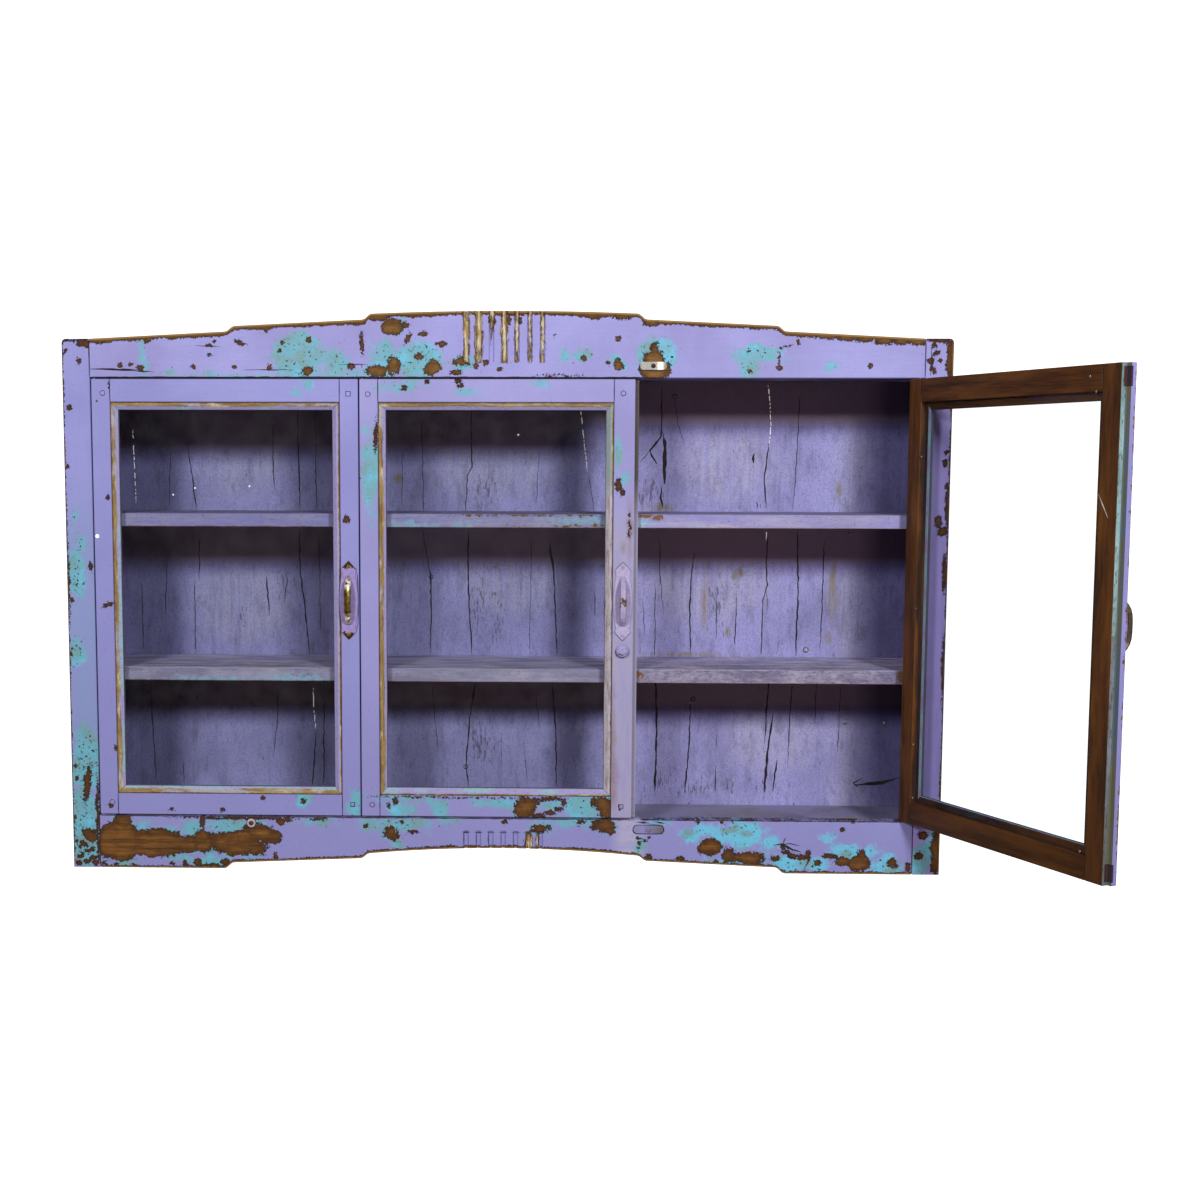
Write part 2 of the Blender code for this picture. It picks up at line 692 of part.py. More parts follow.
def round_ended_strip(length, width):
    """Outline of a strip with round ends, centred on the origin."""
    radius = width / 2
    reach = length / 2 - radius
    points = []
    for centre, start in ((reach, -math.pi / 2), (-reach, math.pi / 2)):
        for i in range(STRIP_END_STEPS + 1):
            angle = start + math.pi * i / STRIP_END_STEPS
            points.append((centre + radius * math.cos(angle), radius * math.sin(angle)))
    return points


def catch_plates(base):
    """The bolt's keep on the pediment, and the turn button on the base rail with its screw."""
    keep_outline = [round_ended_strip(KEEP_LENGTH, KEEP_WIDTH), circle(SCREW_RADIUS)]
    keep = outline_mesh("top_keep", keep_outline, KEEP_THICKNESS)
    keep_place = (CATCH_X, FRONT - SEAT - KEEP_THICKNESS / 2, OPENING_TOP + KEEP_ABOVE_OPENING)
    add_part("top_keep", keep, "plated_steel", keep_place)

    pivot = bpy.data.objects.new("turn_button_pivot", None)
    pivot.location = (CATCH_X, FRONT, OPENING_BOTTOM - BUTTON_BELOW_OPENING)
    PARTS.objects.link(pivot)
    button_outline = [round_ended_strip(BUTTON_LENGTH, BUTTON_WIDTH), circle(SCREW_RADIUS + SEAT)]
    button = outline_mesh("turn_button", button_outline, BUTTON_THICKNESS)
    add_part("turn_button", button, "lilac_paint", (0, -SEAT - BUTTON_THICKNESS / 2, 0), pivot)

    head_base = 2 * SEAT + BUTTON_THICKNESS
    head_rim = head_base + SCREW_HEAD_RIM
    profile = dome(SCREW_HEAD_RADIUS, head_rim, head_rim + SCREW_HEAD_HEIGHT)
    profile += [
        (SCREW_HEAD_RADIUS, head_base),
        (SCREW_RADIUS, head_base),
        (SCREW_RADIUS, head_base - SCREW_LENGTH),
        (0, head_base - SCREW_LENGTH),
    ]
    turned_part("turn_button_screw", profile, "plated_steel", pivot.location)
    hole = cylinder_mesh("screw_hole", SCREW_RADIUS + SEAT, 2 * SCREW_LENGTH)
    cutter = add_cutter("screw_hole", hole, pivot.location)
    cutter.rotation_euler = (math.pi / 2, 0, 0)
    cut(base, cutter)


def shade_round_parts():
    for part in PARTS.objects:
        if part.type == "MESH":
            part.data.shade_smooth()
            part.data.set_sharp_from_angle(angle=SMOOTH_ANGLE)


def build():
    half_length = HALF_OPENING - SEAT
    pediment_edge = stepped_edge(PEDIMENT_CENTRE, PEDIMENT_STEPS, STILE_ABOVE_OPENING, half_length)
    base_edge = stepped_edge(BASE_CENTRE, BASE_STEPS, STILE_BELOW_OPENING, half_length)
    pediment = face_rail("pediment_rail", pediment_edge, 1, PEDIMENT_FLUTE_STOP)
    base = face_rail("base_rail", base_edge, -1, BASE_FLUTE_STOP)
    face_stile("left_stile", -1)
    face_stile("right_stile", 1)
    carcass()
    back_boards()
    doors = (
        Door("left_door", LEFT_DOOR_EDGE, 1, LEFT_DOOR_WIDTH, None, 0),
        Door("middle_door", MIDDLE_DOOR_EDGE, 1, MIDDLE_DOOR_WIDTH, "back", 0),
        Door("right_door", RIGHT_DOOR_EDGE, -1, RIGHT_DOOR_WIDTH, "front", RIGHT_DOOR_REST_ANGLE),
    )
    for door in doors:
        door_frame(door)
        door_glazing(door)
        door_pull(door)
        pivot_pins(door, pediment, base)
    door_knob(doors[1])
    catch_plates(base)
    shade_round_parts()


clear_scene()
PARTS = new_collection("glazed_wall_cabinet")
CUTTERS = new_collection("cutters")
MATERIALS = {name: make_material(name) for name in COLOURS}
build()
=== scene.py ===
"""Looks of the glazed wall cabinet: chipped lilac paint over turquoise and bare wood, glass, brass and light.

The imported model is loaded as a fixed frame, with its front face towards -Y and its back on the wall plane.
Places of marks are in millimetres in that frame, read as x across and z up on the surface that carries them.
"""
import json
import math
import random

import bmesh
import bpy
from mathutils import Matrix, Vector


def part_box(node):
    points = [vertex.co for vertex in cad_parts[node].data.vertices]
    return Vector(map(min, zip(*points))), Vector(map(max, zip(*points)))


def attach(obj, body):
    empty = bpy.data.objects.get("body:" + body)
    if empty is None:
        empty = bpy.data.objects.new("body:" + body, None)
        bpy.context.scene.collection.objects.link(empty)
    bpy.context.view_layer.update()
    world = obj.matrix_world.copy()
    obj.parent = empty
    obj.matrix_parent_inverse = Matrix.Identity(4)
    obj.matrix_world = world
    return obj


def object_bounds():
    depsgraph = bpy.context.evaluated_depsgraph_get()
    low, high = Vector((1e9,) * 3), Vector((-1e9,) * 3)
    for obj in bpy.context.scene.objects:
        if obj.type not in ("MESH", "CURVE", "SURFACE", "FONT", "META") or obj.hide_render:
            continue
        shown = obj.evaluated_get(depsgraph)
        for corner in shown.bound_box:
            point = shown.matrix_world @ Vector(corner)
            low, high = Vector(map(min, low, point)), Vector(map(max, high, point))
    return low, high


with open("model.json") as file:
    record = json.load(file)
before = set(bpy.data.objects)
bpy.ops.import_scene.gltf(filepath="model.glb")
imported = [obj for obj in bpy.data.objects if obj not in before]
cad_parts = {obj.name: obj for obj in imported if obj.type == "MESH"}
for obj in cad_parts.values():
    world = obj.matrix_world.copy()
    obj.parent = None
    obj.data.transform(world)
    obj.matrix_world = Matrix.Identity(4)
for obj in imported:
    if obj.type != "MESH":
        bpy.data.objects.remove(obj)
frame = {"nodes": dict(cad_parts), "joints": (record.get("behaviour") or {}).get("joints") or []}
NODES = frame["nodes"]
CAD_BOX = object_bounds()
SIDES = ("left", "middle", "right")
RIGHT_MEETING = "right_door_meeting_stile"
BACK_BOARDS = sum(name.startswith("back_board_") for name in NODES)
MM = 0.001

# Places taken from the frame, in metres
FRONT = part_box("left_stile")[0].y
DOOR_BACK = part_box("left_door_hinge_stile")[1].y
BACK_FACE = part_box("back_board_4")[0].y
OPENING_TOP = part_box("pediment_rail")[0].z
OPENING_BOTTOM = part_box("base_rail")[1].z
HALF_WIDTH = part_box("right_stile")[1].x
RIGHT_SWING = next(joint for joint in frame["joints"] if joint["name"] == "right_door_swing")
RIGHT_PIVOT = Vector(RIGHT_SWING["pos_m"])
RIGHT_ANGLE = -math.radians(RIGHT_SWING["range_deg"][0])

# How the stepped outline of the rails is read, in metres
SAME_PLACE = 0.0001
RAIL_REACH_FROM = 0.035
CURVE_SPAN = 0.1

# Places in millimetres, as the materials use them
FACE = FRONT / MM
DOOR_INNER = DOOR_BACK / MM
HALF = HALF_WIDTH / MM
RAW_FROM = DOOR_INNER - 6.0
LIP_BACK = FACE + 8.3
BEAD_REAR = FACE + 8.5
EDGE_NOTCH = -9.0
FLUTE_STOP = 328.0
LEDGE_RISE = 3.0
LEDGE_AWAY = 40.0
MIDDLE_TENONS = 176.0

# Stretches over which a look changes, in millimetres across or up
PAINT_DARKENS = (300.0, -380.0)
RAW_DARKENS = (-200.0, -310.0)
OPEN_BAY_STARTS = (172.0, 196.0)
# Across this stretch the painted shade of the top bay stops reaching lower
BAY_SHADE_RISES = (62.0, 112.0)
# Left of this stretch the painted shade beside the stiles is weaker
SHADE_DEEPENS = (150.0, 250.0)
BACK_OUTSIDE = (-3.0, -2.0)
ARRIS_PALES = (-235.0, -195.0)
LEDGE_STARTS = (186.0, 192.0)
FOOT_STARTS = (148.0, 166.0)
FOOT_ENDS = (186.0, 204.0)
SKY_GROWS = (160.0, 300.0)
STILE_SKY_STARTS = (180.0, 60.0)
STILE_SKY_ENDS = (-300.0, -220.0)
# Below this stretch the right stile takes its brighter purple, partly painted light
PURPLE_LIGHT_STARTS = (310.0, 280.0)
MEETING_DUST_STARTS = (165.0, 90.0)
MIDDLE_LIP_DARKENS = (110.0, 170.0)
BUTTON_DARKENS = (196.0, 222.0)
OLD_BEAD_ENDS = (140.0, 170.0)
# Heights between which a painted band of warm light lies on the open door's beads
AMBER_LIGHT_STARTS = (-50.0, 0.0)
AMBER_LIGHT_ENDS = (50.0, 110.0)

# How far marks reach, in millimetres
FAR_AWAY = -100.0
MARK_REACH = 40.0
LARGE_MARK = 6

# Camera that took the photograph
IMAGE_SIZE = 1200
CAMERA_PLACE = Vector((0.06273, -2.38256, 0.18009))
CAMERA_PITCH = -0.09678
CAMERA_YAW = -0.02839
CAMERA_ROLL = -0.00223
SENSOR_WIDTH = 36.0
FOCAL_PIXELS = 1586.6
IMAGE_CENTRE = (504.0, 624.6)

# Studio
LIGHT_DISTANCE = 3.2
LIGHT_HEIGHT_ANGLE = math.radians(22)
LIGHT_SIDE_ANGLES = (math.radians(25), math.radians(-22))
LIGHT_SIZE = 0.55
LIGHT_POWER = (60.0, 46.0)
AMBIENT = (0.105, 0.074, 0.056, 1.0)
BACKDROP = (1.0, 1.0, 1.0, 1.0)
BACKDROP_STRENGTH = 1.4
FLOOR_HEIGHT = -1.6
FLOOR_RADIUS = 1.5
FLOOR_CENTRE_Y = -0.5
FLOOR_SEGMENTS = 96


def srgb(red, green, blue):
    """Linear colour with alpha from the usual 0 to 255 values."""
    channels = []
    for value in (red, green, blue):
        share = value / 255
        channels.append(share / 12.92 if share <= 0.04045 else ((share + 0.055) / 1.055) ** 2.4)
    return (*channels, 1.0)


# Lilac top coat
LILAC = srgb(162, 161, 224)
LILAC_DEEP = srgb(148, 144, 204)
LILAC_LOW = srgb(138, 137, 196)
LILAC_TOOTH = srgb(128, 124, 182)
LILAC_DUSTY = srgb(172, 168, 200)
# Slightly darker lilac of the left stile and the left and right doors; on the left side it is painted shade
# where the lamps' light falls off
DOOR_AND_LEFT_SHADE_COLOURS = (srgb(153, 154, 218), srgb(142, 142, 206))
MIDDLE_COLOURS = (srgb(163, 161, 219), srgb(152, 149, 207))
HANDLED_COLOURS = (srgb(166, 156, 200), srgb(182, 172, 208))
MEETING_DUST = srgb(163, 158, 190)
# Brighter purple on the right stile below the pediment: partly its paint, partly painted light against the
# open door's shadow
STILE_PURPLE_AND_LIGHT = srgb(168, 151, 228)
STILE_SKY = srgb(122, 162, 194)
BUTTON_COLOURS = (srgb(166, 160, 196), srgb(146, 139, 170))
BUTTON_VEIL = srgb(100, 92, 84)
SCREW_COLOURS = (srgb(92, 84, 92), srgb(66, 58, 60))
PLATE_PAINT = (srgb(160, 142, 204), srgb(142, 126, 184))
LIP_PALE = srgb(150, 146, 172)
LIP_OLIVE = srgb(84, 76, 74)
LIP_GREY = srgb(126, 120, 138)

# Inside of the cabinet
LILAC_GREY = srgb(164, 161, 217)
LILAC_SHADE = srgb(143, 140, 191)
# Pale colour of rubbed places inside, also used for a painted strip of light
INNER_WORN_AND_LIT = srgb(178, 175, 208)
# Darker lilac for the side panels, painted shade for their inner faces, which get little of the lamps' light
SIDE_SHADED_COLOURS = (srgb(122, 116, 178), srgb(98, 92, 146))
SHELF_LILAC = srgb(146, 142, 200)
SHELF_GREY = srgb(210, 203, 221)
SHELF_MAUVE = srgb(146, 138, 170)
SHELF_ROUGH = srgb(124, 117, 148)
SHELF_ROUGH_PALE = srgb(158, 151, 178)
# Dark colour painted as shade on the front and underside of the top board
TOP_BOARD_SHADE = srgb(84, 76, 76)
FLOOR_GREY = srgb(147, 144, 153)
ARRIS_PALE = srgb(172, 146, 152)
ARRIS_BROWN = srgb(110, 86, 64)
# Painted shade at the top of the bays: a warm grey for the shaded band and a darkening factor for its soft
# lower edge
BAY_SHADE_COLOUR = srgb(199, 184, 192)
DUSK_SHADE_TINT = (0.66, 0.61, 0.70)
# Darkening factor of the painted shade beside the stiles and doors
SHADE_TINT = (0.38, 0.37, 0.44)

# Old turquoise coat, gilding and beads
TURQUOISE = srgb(104, 176, 190)
SKY_BLUE = srgb(104, 196, 226)
TEAL = srgb(112, 160, 158)
PALE_BLUE = srgb(150, 190, 214)
GOLD_DARK = srgb(112, 86, 46)
GOLD_PALE = srgb(178, 152, 94)
CREAM = srgb(206, 194, 164)
BEAD_LILAC = srgb(160, 154, 204)
BEAD_BLUE = srgb(150, 178, 202)
BEAD_TEAL = srgb(142, 158, 158)
BEAD_GREY = srgb(172, 166, 176)
DUST_WHITE = srgb(184, 177, 188)
LIP_BLUE = srgb(150, 190, 208)
REBATE_COLOURS = (srgb(84, 102, 120), srgb(104, 100, 78))
EDGE_BRIGHT = (srgb(156, 190, 194), srgb(112, 144, 148))
EDGE_DULL = (srgb(124, 134, 148), srgb(100, 104, 100))

# Wood
BARE_DARK = srgb(72, 42, 15)
BARE_PALE = srgb(132, 88, 38)
PEDIMENT_WOOD = (srgb(88, 58, 24), srgb(148, 110, 58))
# Pale wood along worn outer edges: the worn arris and a painted highlight on it
ARRIS_WOOD_AND_HIGHLIGHT = srgb(168, 132, 82)
RAW_DARK = srgb(52, 29, 8)
RAW_PALE = srgb(100, 58, 18)
RAW_GOLD = srgb(122, 76, 20)
# Warm colour of the painted band of light on the open door's beads
AMBER_LIGHT = srgb(128, 84, 32)
TENON_GREY = srgb(104, 92, 86)
OLD_BACK_DARK = srgb(92, 70, 48)
OLD_BACK_PALE = srgb(150, 122, 88)

# Dirt, cracks, and daylight through them painted as a glow
# Dark brown painted round each chip as the shadow of the paint's broken edge
CHIP_EDGE_SHADOW = srgb(44, 26, 16)
SPECK_BROWN = srgb(74, 58, 62)
STAIN = srgb(138, 104, 100)
GRIME = srgb(58, 46, 54)
GRIME_BLUE = srgb(84, 82, 108)
OLIVE = srgb(128, 118, 84)
OLIVE_DARK = srgb(96, 90, 64)
CRACK = srgb(22, 16, 22)
JOINT_DIRT = srgb(58, 40, 44)
DAYLIGHT = srgb(240, 236, 226)
WHITE = srgb(246, 246, 250)
# Strength of the painted glow of light leaks and glints
LEAK_GLOW = 0.6

# Metal, glass and studio floor
BRASS = srgb(158, 136, 62)
BRASS_DARK = srgb(82, 66, 30)
# Colour of the painted highlights on the brass grips
BRASS_GLINT = srgb(250, 244, 222)
STEEL = srgb(190, 184, 172)
# Colour of the painted glint on the keep
STEEL_GLINT = srgb(244, 242, 236)
RUST = srgb(78, 54, 40)
KEEP_DARK = srgb(62, 56, 50)
WASHER_PALE = srgb(206, 196, 204)
GLASS_CLEAR = (0.912, 0.924, 0.928, 1.0)
GLASS_DUST = srgb(190, 192, 200)
STUDIO_PALE = (srgb(244, 244, 246), srgb(236, 236, 238))


class Shader:
    """Short names for the nodes of one material. An input is a number, a colour or another node's output."""

    def __init__(self, name, turned=False):
        self.material = bpy.data.materials.new(name)
        self.material.use_nodes = True
        self.tree = self.material.node_tree
        self.tree.nodes.clear()
        place = self.node("ShaderNodeTexCoord", output="Object")
        if turned:
            place = self.closed_door(place)
        self.mm = self.vector("SCALE", place, Scale=1 / MM)
        self.x, self.y, self.z = self.split(self.mm)

    def closed_door(self, place):
        """The same point of the right door with that door shut, where its marks are placed."""
        back = Matrix.Rotation(-RIGHT_ANGLE, 4, "Z")
        shift = RIGHT_PIVOT - back @ RIGHT_PIVOT
        inputs = {"Vector": place, "Location": shift, "Rotation": (0, 0, -RIGHT_ANGLE)}
        return self.node("ShaderNodeMapping", inputs)

    def node(self, kind, inputs=None, output=0, **settings):
        node = self.tree.nodes.new(kind)
        for name, value in settings.items():
            setattr(node, name, value)
        for key, value in (inputs or {}).items():
            self.feed(node.inputs[key], value)
        return node.outputs[output]

    def feed(self, socket, value):
        if isinstance(value, bpy.types.NodeSocket):
            self.tree.links.new(value, socket)
        else:
            socket.default_value = value

    def math(self, operation, *values):
        return self.node("ShaderNodeMath", dict(enumerate(values)), operation=operation)

    def times(self, first, second):
        return self.math("MULTIPLY", first, second)

    def minus(self, first, second):
        return self.math("SUBTRACT", first, second)

    def most(self, first, second):
        return self.math("MAXIMUM", first, second)

    def scaled(self, value, factor, base):
        """The value times the factor, plus the base."""
        return self.math("MULTIPLY_ADD", value, factor, base)

    def vector(self, operation, *values, **named):
        return self.node("ShaderNodeVectorMath", {**dict(enumerate(values)), **named}, operation=operation)

    def split(self, vector):
        node = self.tree.nodes.new("ShaderNodeSeparateXYZ")
        self.feed(node.inputs[0], vector)
        return node.outputs

    def facing(self, axis):
        """How far the surface looks along an axis, from -1 to 1."""
        return self.split(self.node("ShaderNodeNewGeometry", output="Normal"))["xyz".index(axis)]

    def mix(self, share, first, second):
        return self.node("ShaderNodeMix", {0: share, 6: first, 7: second}, output=2, data_type="RGBA")

    def blend(self, share, first, second):
        return self.node("ShaderNodeMix", {0: share, 2: first, 3: second}, output=0)

    def step(self, value, low, high, first=0.0, last=1.0):
        """Goes from first to last while the value goes from low to high."""
        inputs = {"Value": value, "From Min": low, "From Max": high, "To Min": first, "To Max": last}
        return self.node("ShaderNodeMapRange", inputs)

    def tint(self, colour, over, value, low, high, share=1.0):
        """Lays a second colour over the first while the value goes from low to high, up to a share."""
        return self.mix(self.step(value, low, high, 0.0, share), colour, over)

    def noise(self, size, vector=None, detail=2.0, roughness=0.55, output="Fac"):
        """Smooth noise whose blobs are about so many millimetres across."""
        inputs = {"Vector": vector or self.mm, "Scale": 1 / size, "Detail": detail, "Roughness": roughness}
        return self.node("ShaderNodeTexNoise", inputs, output=output)

    def stretched(self, along, factor):
        """Places squeezed along one axis, so that a pattern runs lengthwise there."""
        scale = [1.0, 1.0, 1.0]
        scale["xyz".index(along)] = 1 / factor
        return self.vector("MULTIPLY", self.mm, scale)

    def grain(self, size, along, factor, detail=2.0, roughness=0.55):
        """Noise whose blobs are so many times longer along one axis."""
        return self.noise(size, self.stretched(along, factor), detail, roughness)

    def ragged(self, size, reach, detail=3.0, roughness=0.55):
        """Places pushed about by noise, for borders that break off unevenly."""
        push = self.noise(size, None, detail, roughness, "Color")
        centred = self.vector("SUBTRACT", push, (0.5, 0.5, 0.5))
        return self.vector("MULTIPLY_ADD", centred, (reach, reach, reach), self.mm)

    def centred(self, size, detail, roughness):
        """Noise around zero, to eat into the border of a mark."""
        return self.minus(self.noise(size, None, detail, roughness), 0.5)

    def patches(self, vector, marks):
        """Millimetres inside the border of the nearest mark, below zero outside it."""
        field = FAR_AWAY
        for x, z, half_width, half_height, *tilt in marks:
            small = min(half_width, half_height)
            reach = 1 + MARK_REACH / small
            spot = self.tree.nodes.new("ShaderNodeTexGradient")
            spot.gradient_type = "SPHERICAL"
            spot.texture_mapping.vector_type = "TEXTURE"
            spot.texture_mapping.translation = (x, 0, z)
            spot.texture_mapping.rotation = (0, math.radians(tilt[0]) if tilt else 0.0, 0)
            spot.texture_mapping.scale = (half_width * reach, -FAR_AWAY * 100, half_height * reach)
            self.feed(spot.inputs["Vector"], vector)
            field = self.most(field, self.scaled(spot.outputs["Fac"], reach * small, small * (1 - reach)))
        return field

    def chips(self, vector, cell, share, radius):
        """Millimetres inside a few small spots, one at most in each cell of that size."""
        node = self.tree.nodes.new("ShaderNodeTexVoronoi")
        self.feed(node.inputs["Vector"], vector)
        self.feed(node.inputs["Scale"], 1 / cell)
        pick = self.split(node.outputs["Color"])[0]
        return self.scaled(node.outputs["Distance"], -cell, self.step(pick, 1 - share, 1.0, -radius, radius))

    def curve(self, value, points):
        """A value looked up on straight stretches between points, all of them between 0 and 1."""
        node = self.tree.nodes.new("ShaderNodeFloatCurve")
        curve = node.mapping.curves[0]
        curve.points[0].location = points[0]
        curve.points[1].location = points[-1]
        for point in points[1:-1]:
            curve.points.new(*point)
        for point in curve.points:
            point.handle_type = "VECTOR"
        node.mapping.update()
        self.feed(node.inputs["Value"], value)
        return node.outputs[0]

    def wood(self, along, dark, pale, size=7.0):
        """Colour of bare timber with its grain along one axis."""
        lengthwise = self.stretched(along, 14)
        rings = self.noise(size, lengthwise, 4.0, 0.62)
        fibres = self.noise(size / 5, lengthwise)
        return self.tint(dark, pale, self.scaled(fibres, 0.35, self.times(rings, 0.65)), 0.36, 0.64)

    def bump(self, height, depth):
        inputs = {"Height": height, "Distance": depth, "Strength": 1.0}
        return self.node("ShaderNodeBump", inputs, output="Normal")

    def output(self, surface):
        node = self.tree.nodes.new("ShaderNodeOutputMaterial")
        self.tree.links.new(surface, node.inputs["Surface"])
        return self.material

    def finish(self, colour, roughness, height=None, depth=0.0004, **fixed):
        surface = self.tree.nodes.new("ShaderNodeBsdfPrincipled")
        self.feed(surface.inputs["Base Color"], colour)
        self.feed(surface.inputs["Roughness"], roughness)
        for name, value in fixed.items():
            self.feed(surface.inputs[name.replace("_", " ").title().replace("Ior", "IOR")], value)
        if height is not None:
            self.feed(surface.inputs["Normal"], self.bump(height, depth))
        return self.output(surface.outputs[0])


# Sizes of small pieces in metres, heads as radius and height
NAIL_SIZE = (0.0026, 0.0010)
GLINT_SIZE = (0.0014, 0.0008)
KEEP_SCREW_SIZE = (0.0032, 0.0011)
WASHER_SIZE = (0.0062, 0.0012)
BOLT_SIZE = (0.0036, 0.0008)
DRIP_SIZE = (0.0027, 0.0006)
PULL_SCREW_SIZE = (0.0030, 0.0011)
BRAD_SIZE = (0.0017, 0.0007)
PEG_SIZE = (0.0030, 0.0004)
PLATE_THICKNESS = 0.0020
PULL_SCREW_REACH = 0.0472
LINE_LIFT = 0.0002
FILL_HALF_WIDTH = 0.0011
FILL_LIFT = 0.0001
FILL_BELOW = 0.012
FILL_ABOVE = 0.003

# Steps along drawn strips
FILL_ROWS = 40
BUTTON_STEPS = 24

# Widths and radii of drawn lines and rings, in millimetres
JOINT_WIDTH = 0.9
OUTLINE_WIDTH = 2.8
OUTLINE_MORE_RIGHT = 0.7
# Extra width of the button's outline below it, where it is a painted shadow
OUTLINE_SHADOW_BELOW = 1.1
ROUND_RING = 3.8
SQUARE_RING = 5.0
PEG_LINE = 1.3
KNOT_WIDTH = 1.1
WASHER_RING = 7.2
WASHER_LINE = 1.4

# Profiles of heads and pegs as shares of radius and height, and the cut slot of a screw
STUD_PROFILE = ((1.0, 0.0), (0.96, 0.45), (0.72, 0.85), (0.34, 1.0))
PEG_PROFILE = ((1.0, -0.2), (1.0, 0.6), (0.86, 1.0))
SLOT_SHARE = 0.24
SLOT_FLOOR = 0.45

# Marks on the front, each as x, z, half width, half height and, where it slants, its tilt in degrees
PEDIMENT_BARE = (
    (-17, 384, 5, 7), (6, 382, 4, 6), (22, 384, 3, 5), (-490, 357, 5, 4), (-529, 324, 4, 4),
    (-515, 324, 3, 3), (-501, 320, 5, 4), (-406, 350, 5, 2), (-398, 356, 2, 2), (-405, 337, 3, 2),
    (-428, 321, 3, 3), (-363, 354, 8, 3, 20), (-371, 320, 3, 3), (-323, 321, 4, 4), (-327, 372, 4, 4),
    (-305, 355, 3, 3), (-308, 343, 3, 3), (-268, 358, 4, 4), (-271, 316, 8, 6), (-195, 352, 3, 13),
    (-210, 322, 5, 4), (-154, 374, 15, 11), (-134, 378, 5, 4), (-132, 360, 4, 9, 25), (-111, 366, 7, 4),
    (-85, 352, 7, 4), (-117, 335, 6, 5), (-172, 316, 15, 7), (-152, 321, 10, 12), (-98, 319, 11, 11),
    (-66, 314, 9, 4), (-174, 390, 20, 6), (-60, 328, 11, 7), (-39, 324, 4, 4), (-26, 327, 4, 4),
    (-6, 318, 4, 3), (122, 389, 12, 4), (160, 389, 13, 4), (201, 380, 11, 5), (155, 360, 4, 4),
    (154.5, 324.5, 8, 8), (142, 327, 3, 3), (108, 333, 4, 4), (73, 310, 20, 1), (206, 317, 22, 14),
    (205, 332, 14, 13), (205, 344, 5, 10), (334, 344, 2, 2), (335, 315, 4, 3), (376, 346, 2, 2),
    (374, 332, 1.4, 6), (386, 350, 5, 1.6), (400, 355, 2.4, 3), (374, 320, 4, 4), (498, 323, 4, 4),
    (392, 367, 14, 4), (416, 365, 14, 4), (440, 363, 14, 5), (465, 361, 14, 5), (490, 359, 14, 5),
    (515, 357, 14, 5), (540, 355.5, 14, 5), (560, 354.5, 12, 5),
)
PEDIMENT_BLUE = (
    (-498, 340, 4, 12), (-462, 314, 5, 2), (-350, 309, 70, 2), (-283, 339, 36, 30), (-229, 327, 11, 18),
    (-165, 333, 18, 24), (-117, 331, 32, 26), (84, 336, 5, 5), (121, 337, 5, 5), (108, 335, 8, 8),
    (209, 338, 27, 24), (346, 339, 32, 11), (335, 321, 11, 12), (446, 323, 5, 5),
)
PEDIMENT_GOLD = (
    (-52, 372, 3.8, 80), (-35, 372, 4.6, 80), (-17, 392, 3, 24), (0, 372, 3.8, 80), (17, 372, 2.2, 75),
    (35, 372, 1.9, 75), (52, 372, 2.2, 75),
)
BASE_GOLD = ((36, -340, 5, 11), (48, -338, 2.4, 9))
BASE_BARE = (
    (-545, -344, 34, 29), (-540, -315, 13, 12), (-498, -346, 52, 20), (-455, -347, 34, 14),
    (-424, -343, 17, 17), (-381, -346, 46, 16, 8), (-341, -331, 32, 13, 12), (-366, -338, 24, 13),
    (-372, -309, 74, 2.4), (-410, -378, 9, 4), (-394, -373, 7, 5), (-447, -379, 6, 2.4),
    (-425, -315, 4, 10), (-433, -373, 6, 6), (-424, -379, 9, 4), (-394, -371, 6, 3), (-314, -314, 6, 6),
    (-305, -310, 6, 4), (-567, -376, 4, 3), (-550, -379, 4, 2.4), (-522, -379, 4, 2.4), (-469, -375, 4, 3),
    (-451, -375, 4, 4), (-381, -374, 4, 3), (-78, -349, 14, 2.4), (-110, -352, 6, 2), (98, -352, 14, 3.4),
    (120, -353, 7, 2.4), (146, -355, 8, 2), (-322, -365, 4, 7), (-260, -310, 11, 2), (-158, -329, 10, 9),
    (-128, -328, 8, 3), (-194, -319, 4, 3), (-143, -313, 3, 3), (2, -313, 4, 3), (52, -320, 13, 7),
    (109, -311, 6, 3), (142, -316, 18, 9), (150, -323, 8, 6), (128, -319, 6, 4), (70, -350, 6, 3),
    (93, -351, 11, 3), (115, -352, 7, 3), (204, -360, 6, 4), (226, -368, 20, 3), (249, -362, 7, 4),
    (292, -345, 18, 10), (314, -356, 8, 10), (342, -360, 24, 9), (282, -369, 4, 3), (299, -366, 4, 3),
    (397, -352, 8, 3), (406, -357, 7, 4), (418, -358, 8, 4), (427, -355, 4, 8), (381, -361, 6, 4),
    (392, -345, 3, 4), (400, -382, 13, 2), (433, -381, 13, 2), (440, -366, 6, 4), (457, -356, 11, 4),
    (475, -364, 11, 7), (497, -367, 18, 10), (502, -356, 6, 9), (544, -365, 6, 7), (550, -370, 4, 3),
    (567, -372, 4, 7), (273, -309, 3, 3), (306, -309, 3, 3), (474, -319, 4, 3), (489, -307, 3, 3),
    (-47, -352, 7, 4), (24, -353, 8, 4), (190, -333, 3, 2), (198, -335, 4, 1.6), (205, -332, 2.4, 2),
    (191, -341, 2, 3), (189, -347, 2.4, 2),
)
